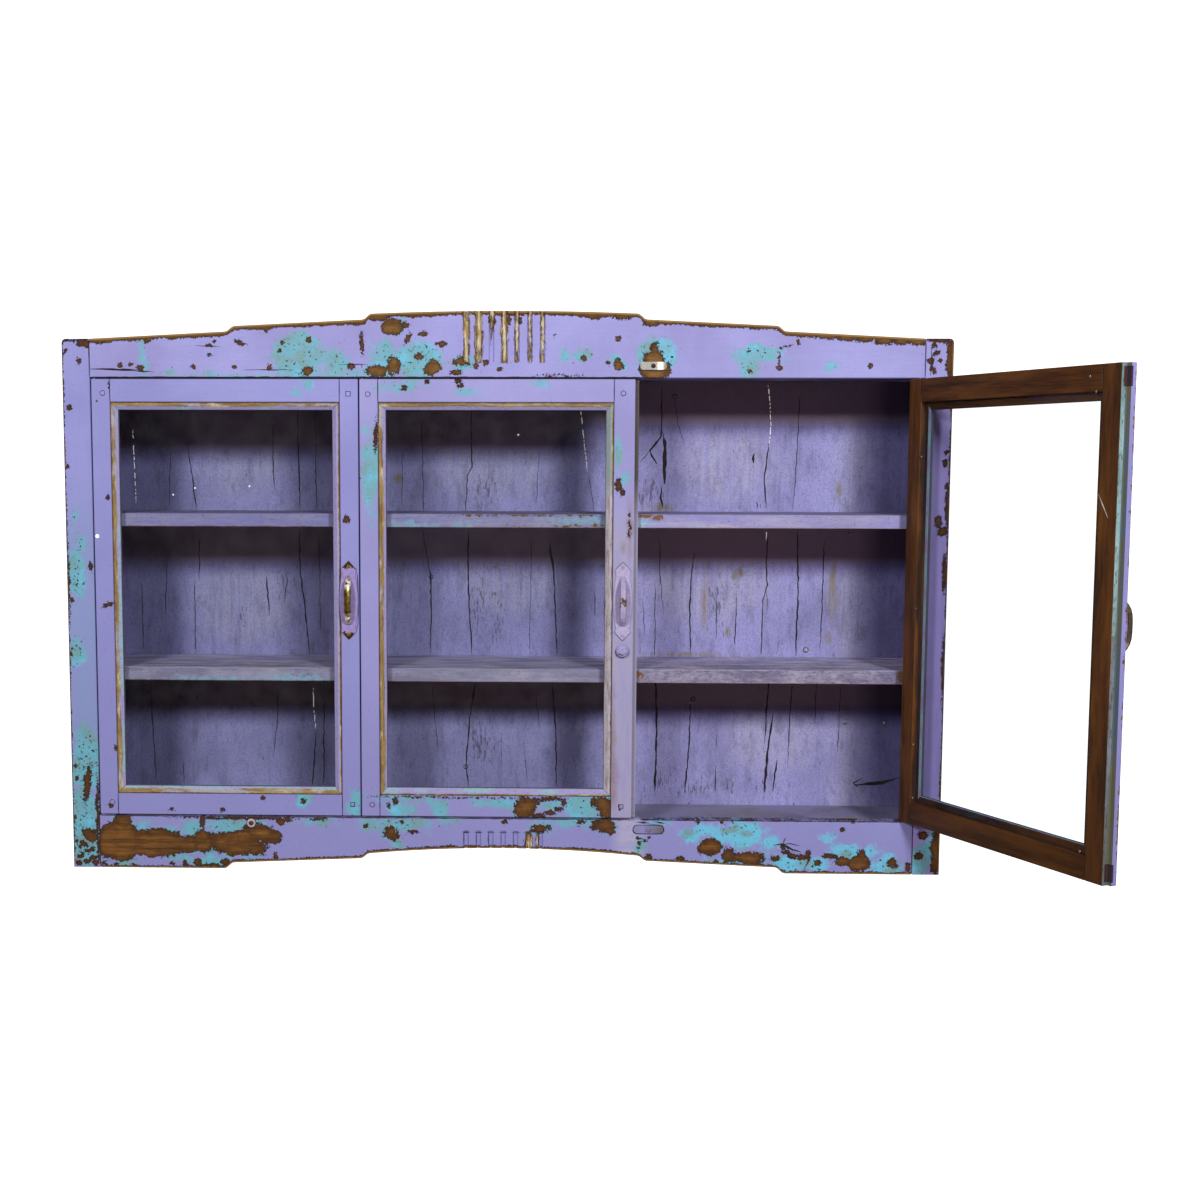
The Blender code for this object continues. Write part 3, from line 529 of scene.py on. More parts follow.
BASE_BLUE = (
    (-516, -321, 9, 5), (-440, -326, 15, 10), (-386, -321, 31, 10), (-470, -366, 8, 7), (-455, -368, 10, 6),
    (-410, -373, 20, 12), (-537, -377, 14, 6), (-256, -312, 20, 6), (-148, -316, 37, 10),
    (-146, -344, 6, 13, -30), (-79, -312, 14, 7), (108, -312, 31, 7), (262, -328, 13, 9),
    (284, -322, 11, 7), (329, -326, 31, 20), (374, -341, 12, 7), (316, -369, 25, 7), (401, -368, 26, 13),
    (439, -372, 17, 10), (494, -350, 28, 11), (534, -370, 17, 11), (453, -329, 6, 3), (215, -309.6, 9, 2.4),
    (192, -340, 7, 11), (347, -374, 20, 6),
)
LEFT_STILE_BARE = (
    (-577, 352, 11, 5), (-600, 358.5, 16, 2.2), (-582, 357, 10, 3), (-586, 330, 4, 4), (-601, 266, 4, 4),
    (-604, 343, 3, 3), (-606, 184, 3, 3), (-608, 20, 2, 42), (-576, 46, 3, 6), (-604, -1, 3, 3),
    (-608, -77, 3, 3), (-605, -235, 3, 3), (-603, -254, 3, 3), (-588, -262, 5, 27, 8), (-607, -310, 3, 3),
    (-590, -332, 7, 6), (-600, -352, 3, 3), (-592, -350, 4, 3), (-583, -356, 4, 4), (-601, -366, 4, 3),
    (-590, -373, 5, 4), (-579, -375, 4, 4), (-606, -344, 3, 3), (-586, -336, 10, 9),
    (-574.5, -300, 2.4, 44), (-597, -347, 4, 4), (-598, -362, 3, 4), (-590, -358, 4, 3), (-583, -368, 5, 4),
    (-602, -375, 5, 4), (-575, -350, 2, 26),
)
LEFT_STILE_BLUE = (
    (-598, 112, 4, 8), (-591, 78, 5, 8), (-596, 37, 10, 30), (-598, -75, 11, 19), (-588, -232, 17, 45),
    (-593, -325, 22, 66),
)
RIGHT_STILE_BARE = (
    (590, 357.5, 20, 3), (583, 352, 3, 5), (587, 341, 4, 3), (585, 315, 3, 4), (579, 329, 5, 5),
    (582, 319, 4, 4), (584, 339, 3, 3), (591, 329, 3, 3), (606, 333, 6, 32), (602, 191, 4, 6),
    (604, 206, 3, 3), (606, 160, 3, 4), (595, 112, 6, 8), (601, 98, 6, 7), (607, 130, 3, 30),
    (606, 40, 4, 26), (608, -90, 3, 40), (586, -325, 7, 6), (582, -356, 6, 6), (605, -352, 8, 34),
)
RIGHT_STILE_BLUE = ((598, -326, 7, 8), (584, -364, 13, 19), (594, -345, 14, 14))
LEFT_DOOR_BARE = (
    (-550, 142, 3, 4), (-562, 275, 1, 1.4), (-218, 112, 5, 6), (-545, -210, 3, 4), (-469, -297, 4, 3),
    (-395, -298, 4, 3), (-339, -280, 4, 3), (-282, -283, 4, 4), (-552, -7, 9, 3, -20), (-556, -292, 4, 4),
    (-546, 297, 1.4, 3),
)
LEFT_DOOR_BLUE = ((-271, 297, 5, 4), (-288, 286, 5, 4), (-210, -290, 13, 22), (-282, -283, 9, 10))
MIDDLE_DOOR_BARE = (
    (-176, 226, 3, 21), (-137, 293, 4, 4), (-106, 301, 4, 3), (-63, 302, 4, 3), (-60, 297, 4, 3),
    (32, -290, 13, 15), (22, -294, 8, 11), (64, -279, 24, 3), (86, -283, 4, 6), (78, -293, 6, 3),
    (66, -298, 9, 4), (50, -302, 10, 4), (46, -283, 6, 4), (141, -286, 14, 10), (146, -299, 11, 7),
    (126, -282, 4, 7), (-82, -277, 65, 1), (-152, -283, 4, 6), (-162, -290, 3, 4),
)
MIDDLE_DOOR_BLUE = (
    (-185, 173, 11, 44), (-143, 293, 23, 8), (-50, 290, 6, 3), (53, 300, 5, 3), (-88, -295, 13, 13),
    (108, -291, 25, 17), (-145, -294, 17, 10), (-4, -284, 22, 4), (-127, -277, 20, 3), (70, -288, 14, 7),
)
MEETING_BARE = (
    (157, 160, 5, 9), (163, 150, 3, 5), (173, 120, 2, 4), (174, 105, 2, 6), (172, 92, 2, 5),
    (163, -290, 2, 3),
)
MEETING_BLUE = ((166, 170, 6, 8), (155, 205, 4, 16))
MEETING_STAINS = ((152, -200, 3, 46), (154, -255, 4, 24), (165, 74, 3, 6), (174, 100, 3, 22))

# Marks on the back boards and the shelves, in the same form
BACK_STAINS = (
    (225, 126, 22, 6), (491, 152, 4, 9), (347, 29, 7, 6), (330, -60, 4, 6), (478, -68, 6, 9),
    (487, -3, 9, 44), (294, -10, 4, 34), (-163, 168, 7, 7), (260, -94, 60, 3), (300, -12, 2, 24),
    (338, 24, 3, 4),
)
# Pale rubbed places on the back; the last, tall mark is a painted strip of light beside the painted shade at
# the right of the open bay
BACK_RUBBED_AND_LIT = (
    (330, 190, 70, 50), (400, -215, 60, 50), (300, 20, 90, 60), (10, 40, 80, 70), (-20, 190, 90, 50),
    (-400, 200, 60, 50), (-400, -20, 70, 60), (512, 0, 18, 900),
)
# Painted shade on the back beside the stiles and doors, where they keep the lamps' light off
BACK_SHADED = ((-575, -20, 92, 700), (-268, 0, 30, 700), (98, 0, 16, 700), (616, 0, 75, 700))
BACK_SPECKS = (
    (-42, -22, 12, 32), (-20, -24, 6, 34), (-32, 150, 14, 22), (-40, -230, 20, 30), (310, -8, 12, 34),
    (-332, 14, 9, 22), (-396, -44, 9, 16), (235, -288, 20, 9), (300, -296, 60, 6), (215, 150, 18, 16),
)
UPPER_SHELF_BARE = (
    (196, 118, 14, 3), (212, 115, 10, 4), (60, 119, 60, 1), (100, 104, 40, 1), (-40, 119, 20, 1),
)
UPPER_SHELF_BLUE = ((112, 111, 40, 6), (192, 108, 12, 5), (-130, 104, 40, 3), (-60, 105, 12, 4))
LOWER_SHELF_BARE = ((560, -106, 10, 12), (192, -104, 5, 4))
LOWER_SHELF_BLUE = ((-290, -112, 44, 5), (-420, -114, 30, 3))

# Heights of the painted shade at the top of each bay's back, and how far lower it starts behind the top rails
BAY_SHADOWS = ((245, 320, 38), (39, 99, 0), (-181, -117, 0))

# Width of the gold band in millimetres and share of pale blue, by side of the pane
BEAD_WEAR = {
    "hinge": (6.2, 0.7), "meeting": (2.4, 0.1), "top": (5.8, 0.35), "bottom": (6.8, 0.8),
    ("middle", "hinge"): (7.2, 0.1), ("middle", "bottom"): (2.8, 0.6),
}

# Cracks, and light leaks painted as glowing strips, each as its points of x and z with its width in
# millimetres
BACK_CRACKS = (
    ((-551, 10, 1.2), (-551, -91, 1.6)), ((-479, 223, 1), (-471, 165, 1.8), (-466, 114, 1.6)),
    ((-462, 86, 1.4), (-464, 15, 1.6)), ((-471, 15, 1), (-471, -99, 1.4)),
    ((-504, 204, 1), (-507, 125, 0.8)), ((-512, 47, 1), (-516, -36, 1.4)),
    ((-349, 250, 1.0), (-350, 185, 2.0), (-348, 150, 0.8)),
    ((-313, 290, 0.8), (-312, 190, 2.0), (-310, 122, 1.6)),
    ((-312, 90, 1.6), (-311, 30, 2.2), (-304, -30, 1.8), (-298, -95, 2.2)),
    ((-362, 20, 2.6), (-358, -40, 1.4)), ((-286, 270, 1.0), (-286, 122, 1.4)),
    ((-282, 90, 1.0), (-281, -60, 0.8)), ((-331, 20, 1.0), (-335, -20, 1.0)),
    ((-542, -135, 1.6), (-540, -168, 1.8), (-535, -288, 1.4)),
    ((-347, -150, 1.6), (-347, -188, 1.2), (-355, -254, 1.0)), ((-289, -212, 2.0), (-296, -297, 2.6)),
    ((-277, -130, 1.2), (-278, -294, 1.8)), ((-493, -255, 0.9), (-492, -295, 1.2)),
    ((-378, -160, 2.0), (-380, -172, 1.2)), ((-470, -158, 1.8), (-468, -170, 1.2)),
    ((-128, 266, 0.8), (-125, 118, 1.2)),
    ((-54, 270, 1.4), (-53, 185, 1.8), (-60, 172, 1.2), (-62, 118, 1.4)), ((47, 209, 0.7), (43, 129, 0.8)),
    ((-157, 207, 0.7), (-157, 124, 0.7)), ((121, 175, 1), (129, 119, 0.8)),
    ((-126, 90, 1), (-117, 32, 1.4), (-114, 21, 2.4), (-115, -97, 1)),
    ((-58, 92, 1.4), (-59, 27, 2.2), (-53, -96, 1.8)),
    ((64, 76, 1.2), (65, 55, 4), (70, 28, 2), (75, -96, 1.6)), ((36, 82, 0.7), (34, -97, 0.7)),
    ((131, 4, 1), (132, -36, 1.6)), ((145, -9, 0.7), (147, -88, 0.7)),
    ((-114, -136, 0.8), (-104, -246, 0.7)),
    ((-47, -136, 2), (-50, -157, 2.4), (-56, -192, 2), (-62, -267, 1.6), (-58, -298, 2)),
    ((68, -135, 1.4), (74, -210, 2), (75, -297, 1.4)), ((44, -156, 0.8), (50, -210, 0.8)),
    ((25, -225, 0.7), (32, -294, 0.7)), ((-7, -215, 0.6), (-9, -265, 0.6)),
    ((228, 306, 1.2), (228, 232, 2.2), (225, 226, 5.4)),
    ((226, 228, 5.0), (214, 214, 3.8), (210, 208, 3.0)), ((211, 210, 4.4), (221, 190, 5.0)),
    ((210, 208, 1.6), (196, 193, 1.2)), ((224, 246, 1.4), (227, 228, 2.4)),
    ((230, 238, 3.0), (233, 222, 4.8), (233, 160, 5.6)),
    ((229, 158, 3.2), (228, 140, 4.2), (231, 124, 2.2)),
    ((247, 288, 0.7), (252, 250, 0.9), (263, 215, 0.7)), ((227, 84, 0.8), (228, 30, 1.2), (234, -33, 0.7)),
    ((221, 18, 0.8), (222, -95, 1.4)), ((203, -11, 0.7), (207, -68, 0.8)),
    ((279, 58, 3), (277, 48, 1.4), (273, -12, 2), (275, -94, 1.6)), ((313, -12, 0.8), (313, -72, 1.2)),
    ((342, -1, 0.7), (342, -41, 1.2), (341, -78, 2.4)),
    ((387, 84, 1.4), (386, 37, 2.4), (388, 11, 2), (382, -11, 1.4), (381, -94, 2)),
    ((387, 5, 0.8), (389, -32, 0.7)), ((431, 93, 1.4), (434, 0, 2.4), (432, -95, 2)),
    ((471, 79, 1.2), (470, -26, 1.8), (468, -93, 0.6)), ((407, -71, 0.7), (403, -94, 0.9)),
    ((431, 292, 0.9), (428, 200, 1.2), (424, 124, 0.8)),
    ((364, 206, 3.0), (364, 198, 4.0), (365, 191, 3.0)), ((370, 134, 2.0), (371, 125, 2.0)),
    ((376, 131, 1.8), (376, 125, 1.6)), ((223, -125, 1.4), (226, -200, 2.8), (224, -303, 3.0)),
    ((276, -160, 1.4), (275, -220, 2.0), (270, -303, 2.4)),
    ((394, -125, 1.2), (390, -180, 2.4), (388, -230, 1.0)),
    ((400, -180, 1.4), (393, -240, 3.8), (389, -303, 3.6)),
    ((428, -130, 1.0), (425, -200, 1.4), (423, -265, 0.8)), ((407, -252, 2.4), (402, -303, 2.0)),
    ((316, -262, 1.0), (315, -303, 1.8)), ((464, -130, 0.9), (463, -200, 1.0)),
    ((500, -140, 0.9), (498, -240, 0.8)), ((316, -215, 2.0), (316, -235, 1.2)),
    ((536, -279.5, 1.8), (523, -287.5, 3.6), (530, -293, 3.6)),
    ((524, -290, 2.8), (566, -287, 5.0), (590, -278, 3.6)),
)
LIGHT_LEAKS = (
    ((-560, 240, 0.7), (-559, 200, 0.9), (-557, 130, 0.5)),
    ((107, 290, 0.5), (109, 262, 0.7), (113, 228, 0.7), (119, 178, 0.6)),
    ((384, 306, 1.1), (387, 280, 0.7), (389, 250, 0.9), (387, 215, 0.5)), ((386, 96, 1.0), (385, 78, 0.8)),
    ((-293, -140, 0.5), (-293, -169, 0.8), (-290, -210, 0.5)),
)
LEAK_CRACK = ((387, 222, 1.6), (381, 170, 2.4), (384, 124, 1.6))
FRONT_CRACKS = (
    ((-571, 318, 2.2), (-540, 317.5, 2.4), (-481, 314, 1.2)), ((-540, 317.5, 1.0), (-500, 318, 0.8)),
    ((-424, 349.5, 0.8), (-405, 349.5, 1.4), (-391, 348, 0.8)),
    ((-404, 341, 0.9), (-407, 335, 1.0), (-399, 336, 0.8)),
    ((-359, 317, 0.7), (-323, 317, 1.3), (-288, 317, 0.7)),
    ((-229, 324, 0.7), (-207, 324, 1.3), (-186, 325, 0.7)),
    ((578, 350, 0.8), (581, 325, 1.4), (579, 309, 1.2)),
    ((378, -341, 1.4), (392, -339, 2.8), (405, -348, 2.8), (418, -351, 1.8)),
    ((392, -339, 1.8), (401, -358, 2.6), (409, -362, 1.6)),
    ((429, -351, 1.6), (428, -366, 2.6), (421, -378, 1.4)),
    ((392, -339, 1.4), (403, -339.5, 2.2), (416, -342, 1.2)), ((396, -330, 1.4), (392, -339, 2.4)),
)

# Dirty lines along joints and a scratch, in the same form
OPENING_LINE = (((-572, 307.1, 1.5), (-200, 307.1, 1.9), (192, 307.1, 1.5)),)
FRAME_JOINTS = (
    ((-572, 308, 1.2), (-572, 354, 1.6)), ((-572, -308, 1.2), (-572, -381, 1.6)),
    ((572, 308, 1.0), (572, 354, 1.2)), ((572, -308, 1.0), (572, -380, 1.2)),
    ((-570, -307, 1.5), (185, -307, 1.5)), ((186, -310.4, 0.9), (197, -310.8, 2.6), (206, -311.6, 1.2)),
    ((212, -309.4, 1.2), (220, -310.6, 2.2), (226, -312, 2.6)),
    ((226, 316.6, 1.4), (205, 316.4, 2.2), (183, 316.6, 2.0)), ((183.4, 317, 2.4), (184.4, 326, 1.0)),
    ((225.6, 318, 1.6), (225.6, 327, 1.2)), ((192, -307.2, 1.4), (560, -307.2, 1.2)),
)
DOOR_SCRATCH = ((215, 154, 1.4), (208, 142, 1.8), (199, 127, 1.2))

# Lines around pulls, knob and button and in the flutes, in the same form
PULL_HALF = ((9, 46, 1.0), (12.6, 34, 1.2), (13.5, 0, 1.0), (12.6, -34, 1.2), (9, -46, 1.0))
PULL_SIDES = tuple(tuple((side * x, z, width) for x, z, width in PULL_HALF) for side in (-1, 1))
FLUTE_PITCH = 17.45
FLUTES = tuple(number * FLUTE_PITCH for number in range(-3, 4))
# Dark lines in the base flutes, across their stopped tops and down their left sides: dirt and painted shade
# in the grooves
FLUTE_DIRT_AND_SHADE = (
    *(((x - 6, -326.4, 1.8), (x + 6, -326.4, 1.8)) for x in FLUTES),
    *(((x - 3.4, -327, 2.0), (x - 3.4, -347, 1.4)) for x in FLUTES),
)
KNOB_CENTRE = (164.7, -68.5)
KNOB_RADIUS = 8.6
KNOB_TURNS = tuple(number * 0.35 for number in range(-9, 1))
# Painted shadow below the knob, a dark arc on the door
KNOB_SHADE = tuple(
    (KNOB_CENTRE[0] + KNOB_RADIUS * math.cos(turn), KNOB_CENTRE[1] + KNOB_RADIUS * math.sin(turn), 2.6)
    for turn in KNOB_TURNS)
PULL_CHEVRONS = (
    ((-12, -42, 1.0), (0, -54.6, 1.2), (12, -42, 1.0)), ((-12, 42, 1.0), (0, 54.6, 1.2), (12, 42, 1.0)),
)
# Dark marks on the knob around its centre; the first two runs, along its lower edge, are painted shade
KNOB_MARKS_AND_SHADE = (
    ((-6.4, -2.4, 0.9), (-4.0, -4.6, 1.6), (0.4, -5.4, 1.2), (2.4, -5.0, 0.8)),
    ((3.6, -4.2, 1.2), (6.0, -2.2, 0.9)), ((-5.4, 3.2, 0.8), (-4.0, 4.6, 0.9)),
    ((-1.0, 2.6, 0.8), (1.6, 3.0, 0.8)), ((3.8, 4.2, 0.8), (5.4, 2.4, 0.8)),
    ((-3.2, 0.2, 0.6), (-2.2, 0.8, 0.6)),
)

# Places along the keep and the brightness painted there, a painted glint between darker ends, both as shares
KEEP_GLINT = (
    (0.0, 0.12), (0.08, 0.4), (0.45, 0.34), (0.62, 0.42), (0.68, 1.0), (0.83, 1.0), (0.88, 0.4), (1.0, 0.1),
)

# Places of small pieces, as x and z in millimetres, with the numbers of square pegs and the radius of knots
DOOR_PEGS = {
    "left": (((-554.5, 285.5), (-214.5, 284.5), (-553, -287.5), (-212, -288.5)), (1, 3)),
    "middle": (((-187.5, 284), (163, 285.5), (-184.5, -288.5), (165, -288.5)), (3,)),
    "right": (((557, 286), (197, 285), (556, -288), (198, -288)), ()),
}
BASE_WASHER = (-356, -316)
PAINT_DRIP = (-566, 88)
BACK_NAILS = ((448, -87), (247, 290), (276, -166), (508, -196), (567, -196), (508, 89))
# Places of painted glints on the back: tiny heads that glow white
BACK_GLINTS = ((16, 233), (-468, 153), (-386, 156), (-501, 143), (276, -166), (508, -196))
BACK_KNOTS = ((247, 290, 3.4), (280, -161, 3.6), (-114, 21, 3.4), (-62, -267, 3.6), (447, -86, 4.4))
DOOR_BRADS = ((541, 200), (543, -6), (542, -193), (540, -267), (225, 273), (236, 291), (224, -271))


# Layers of paint and wood
def rail_edge(shader, node_name, upward):
    """Millimetres from a point to the stepped outer edge of the pediment or base rail."""
    corner = OPENING_TOP if upward else OPENING_BOTTOM
    reach = {}
    for vertex in NODES[node_name].data.vertices:
        height = abs(vertex.co.z - corner)
        if vertex.co.x >= 0 and height > RAIL_REACH_FROM and abs(vertex.co.y - FRONT) < SAME_PLACE:
            across = round(vertex.co.x / HALF_WIDTH, 4)
            reach[across] = max(height, reach.get(across, 0.0))
    points = [(across, reach[across] / CURVE_SPAN) for across in sorted(reach)]
    points = [(0.0, points[0][1]), *points, (1.0, points[-1][1])]
    across = shader.math("DIVIDE", shader.math("ABSOLUTE", shader.x), HALF)
    edge = shader.times(shader.curve(across, points), CURVE_SPAN / MM)
    beyond = shader.minus(shader.z, corner / MM)
    height = beyond if upward else shader.times(beyond, -1.0)
    return shader.minus(edge, height)


def edge_wear(shader, distance, width):
    """Bare wood along an edge, in stretches of uneven width, in millimetres inside its border."""
    patchy = shader.step(shader.noise(26.0, detail=6.0, roughness=0.7), 0.32, 0.68, width * 0.5, width * 1.5)
    return shader.minus(patchy, distance)


def timber(shader, along, tones):
    """Bare wood where the paint is gone: warm, with dirty grain."""
    colour = shader.wood(along, *tones)
    return shader.tint(colour, tones[0], shader.noise(16, detail=4.0), 0.5, 0.72, 0.6)


def paint_film(shader, along, colours):
    """Top coat with clouds of tone, brush strokes along the board, a fine tooth and faint dirt."""
    colour = shader.tint(*colours, shader.noise(110, detail=3.0), 0.35, 0.65)
    strokes = shader.grain(2.2, along, 18, 3.0)
    colour = shader.tint(colour, colours[1], strokes, 0.3, 0.75, 0.16)
    colour = shader.tint(colour, LILAC_LOW, shader.z, *PAINT_DARKENS, 0.85)
    colour = shader.tint(colour, LILAC_TOOTH, shader.noise(1.5), 0.42, 0.72, 0.22)
    return shader.tint(colour, GRIME, shader.noise(3.0), 0.70, 0.78, 0.35), strokes


def undercoat(shader, bright):
    """Old turquoise coat, from grey-green to sky blue."""
    tone = shader.noise(26, detail=3.0)
    colour = shader.tint(TEAL, TURQUOISE, tone, 0.36, 0.5)
    return shader.tint(colour, SKY_BLUE, shader.math("ADD", tone, bright), 0.62, 0.74)


def raw_timber(shader, along):
    """Wood that never was painted: brown, with golden streaks and dark smears."""
    colour = shader.wood(along, RAW_DARK, RAW_PALE, 9.0)
    streaks = shader.grain(34, along, 5, 5.0, 0.6)
    colour = shader.tint(colour, RAW_GOLD, streaks, 0.5, 0.68, 0.6)
    colour = shader.tint(colour, RAW_DARK, streaks, 0.44, 0.3, 0.7)
    return shader.tint(colour, RAW_DARK, shader.z, *RAW_DARKENS, 0.4)


def grimy(shader):
    return GRIME


def barely(shader):
    return 0.04


def lost_paint(shader, near, large, small, old_coat, outer, edge_width, chip_share, flecked):
    """Millimetres inside the lost paint: marks, a worn edge, chips and flecks, all with crumbling borders."""
    if outer is not None:
        small = shader.most(small, edge_wear(shader, outer, edge_width))
    small = shader.most(small, shader.chips(near, 34, chip_share, 3.0))
    zone = shader.most(old_coat, large)
    flecks = shader.minus(shader.noise(4.5, detail=4.0, roughness=0.6), 0.74)
    flecks = shader.math("ADD", flecks, shader.step(zone, -12.0, 4.0, -0.1, flecked))
    worn = shader.most(shader.most(large, small), shader.times(flecks, 12.0))
    return shader.scaled(shader.centred(3.4, 4.0, 0.72), 10.5, worn)


def turquoise_share(shader, broken, large, old_coat):
    """How much of the old coat shows: in its own patches and in a broken halo around large chips."""
    halo = shader.step(shader.scaled(broken, 40.0, large), -5.5, -1.5)
    halo = shader.times(halo, shader.step(shader.noise(52), 0.45, 0.57))
    shown = shader.step(shader.scaled(broken, 46.0, old_coat), -4.8, 2.6)
    mottle = shader.step(shader.noise(3.6, detail=5.0, roughness=0.7), 0.34, 0.56, 0.55, 1.0)
    return shader.times(shader.most(shown, halo), mottle)


def rear_wood(shader, colour, along, raw):
    """Adds raw wood behind a door's front, or old brown wood where a fixed board looks at the wall."""
    if raw is not None:
        return shader.tint(colour, raw(shader, along), shader.y, RAW_FROM, RAW_FROM + 0.4)
    old_wood = shader.wood(along, OLD_BACK_DARK, OLD_BACK_PALE)
    return shader.tint(colour, old_wood, shader.facing("y"), 0.5, 0.8)


def painted(name, along="z", bare=(), blue=(), edge=None, edge_width=7.0, colours=(LILAC, LILAC_DEEP),
            turned=False, raw=raw_timber, chip_share=0.10, bright=barely, dusty=None, veil=LILAC_DUSTY,
            gold=(), reveal=grimy, stains=(), tones=(BARE_DARK, BARE_PALE), flecked=0.01):
    """Chipped paint: lilac over turquoise over wood, with placed marks and small chips between them, a
    painted shadow round each chip and a painted highlight on worn edges.
    """
    shader = Shader(name, turned)
    near = shader.ragged(14.0, 11.0, 6.0, 0.7)
    tears = shader.centred(15.0, 6.0, 0.74)
    broken = shader.centred(20.0, 6.0, 0.74)
    large = shader.patches(near, [mark for mark in bare if min(mark[2:4]) > LARGE_MARK])
    large = shader.scaled(tears, 22.0, large)
    small = shader.patches(near, [mark for mark in bare if min(mark[2:4]) <= LARGE_MARK])
    old_coat = shader.patches(shader.ragged(34.0, 20.0, 4.0), blue)
    outer = edge(shader) if edge else None
    total = lost_paint(shader, near, large, small, old_coat, outer, edge_width, chip_share, flecked)
    gone = shader.step(total, -0.25, 0.25)
    # A thin dark rim round each chip, the painted shadow of the paint's edge
    rim_shadow = shader.minus(shader.step(total, -0.7, 0.1), shader.step(total, 0.4, 2.4))
    shown = turquoise_share(shader, broken, large, old_coat)
    film, strokes = paint_film(shader, along, colours)
    if dusty is not None:
        smear = shader.step(shader.grain(9, along, 6, 4.0, 0.6), 0.3, 0.6, 0.45, 1.0)
        film = shader.mix(shader.times(dusty(shader), smear), film, veil)
    if stains:
        soaked = shader.scaled(broken, 14.0, shader.patches(near, stains))
        film = shader.tint(film, STAIN, soaked, -4.0, 3.0, 0.7)
    colour = shader.mix(shown, film, undercoat(shader, bright(shader)))
    wood = shader.tint(tones[0], timber(shader, along, tones), total, 0.5, 9.0)
    # Pale wood right at the worn edge, partly a painted highlight
    if outer is not None:
        wood = shader.mix(shader.step(outer, 0.5, 2.4, 0.8, 0.0), wood, ARRIS_WOOD_AND_HIGHLIGHT)
    colour = shader.mix(gone, colour, wood)
    colour = shader.mix(shader.times(rim_shadow, 0.8), colour, CHIP_EDGE_SHADOW)
    if gold:
        colour = gilded(shader, colour, gold)
    if reveal is not None:
        colour = shader.tint(colour, reveal(shader), shader.y, FACE + 0.9, FACE + 2.0)
    colour = rear_wood(shader, colour, along, raw)
    layers = shader.scaled(gone, -0.8, shader.times(shown, -0.15))
    height = shader.scaled(strokes, 0.22, layers)
    rough = shader.blend(gone, shader.step(strokes, 0.3, 0.7, 0.46, 0.6), 0.82)
    return shader.finish(colour, rough, height, 0.0005, specular_ior_level=0.3)


# Materials of single parts
def gilded(shader, colour, marks):
    """Flutes rubbed to pale gold, with brown broken borders that run up and down."""
    upright = shader.stretched("z", 6)
    streaks = shader.minus(shader.noise(2.4, upright, detail=5.0, roughness=0.7), 0.5)
    stopped = shader.minus(shader.math("ABSOLUTE", shader.z), FLUTE_STOP)
    field = shader.math("MINIMUM", shader.patches(shader.mm, marks), stopped)
    field = shader.scaled(streaks, 13.0, field)
    gilt = shader.wood("z", GOLD_DARK, GOLD_PALE, 3.0)
    gilt = shader.tint(gilt, CREAM, shader.noise(4, upright, detail=4.0), 0.44, 0.58)
    gilt = shader.tint(gilt, BARE_DARK, shader.grain(12, "z", 3, 5.0, 0.7), 0.52, 0.62, 0.85)
    colour = shader.tint(colour, BARE_DARK, field, -1.5, -0.5)
    return shader.tint(colour, gilt, field, 0.0, 0.9)


def painted_bay_shade(shader, colour, shadows):
    """Painted shade at the top of each bay, under the top board and the shelves: a warm grey, and a darkening
    that fades out softly below it.
    """
    for low, high, drop in shadows:
        level = shader.math("ADD", shader.z, shader.step(shader.x, *BAY_SHADE_RISES, drop, 0.0))
        below = shader.step(shader.z, high, high + 1.0, 1.0, 0.0)
        colour = shader.mix(shader.times(shader.step(level, low, low + 16.0), below), colour, BAY_SHADE_COLOUR)
        dusk = shader.times(shader.step(level, low - 24.0, low + 6.0), below)
        colour = shader.mix(dusk, colour, shader.vector("MULTIPLY", colour, DUSK_SHADE_TINT))
    return colour


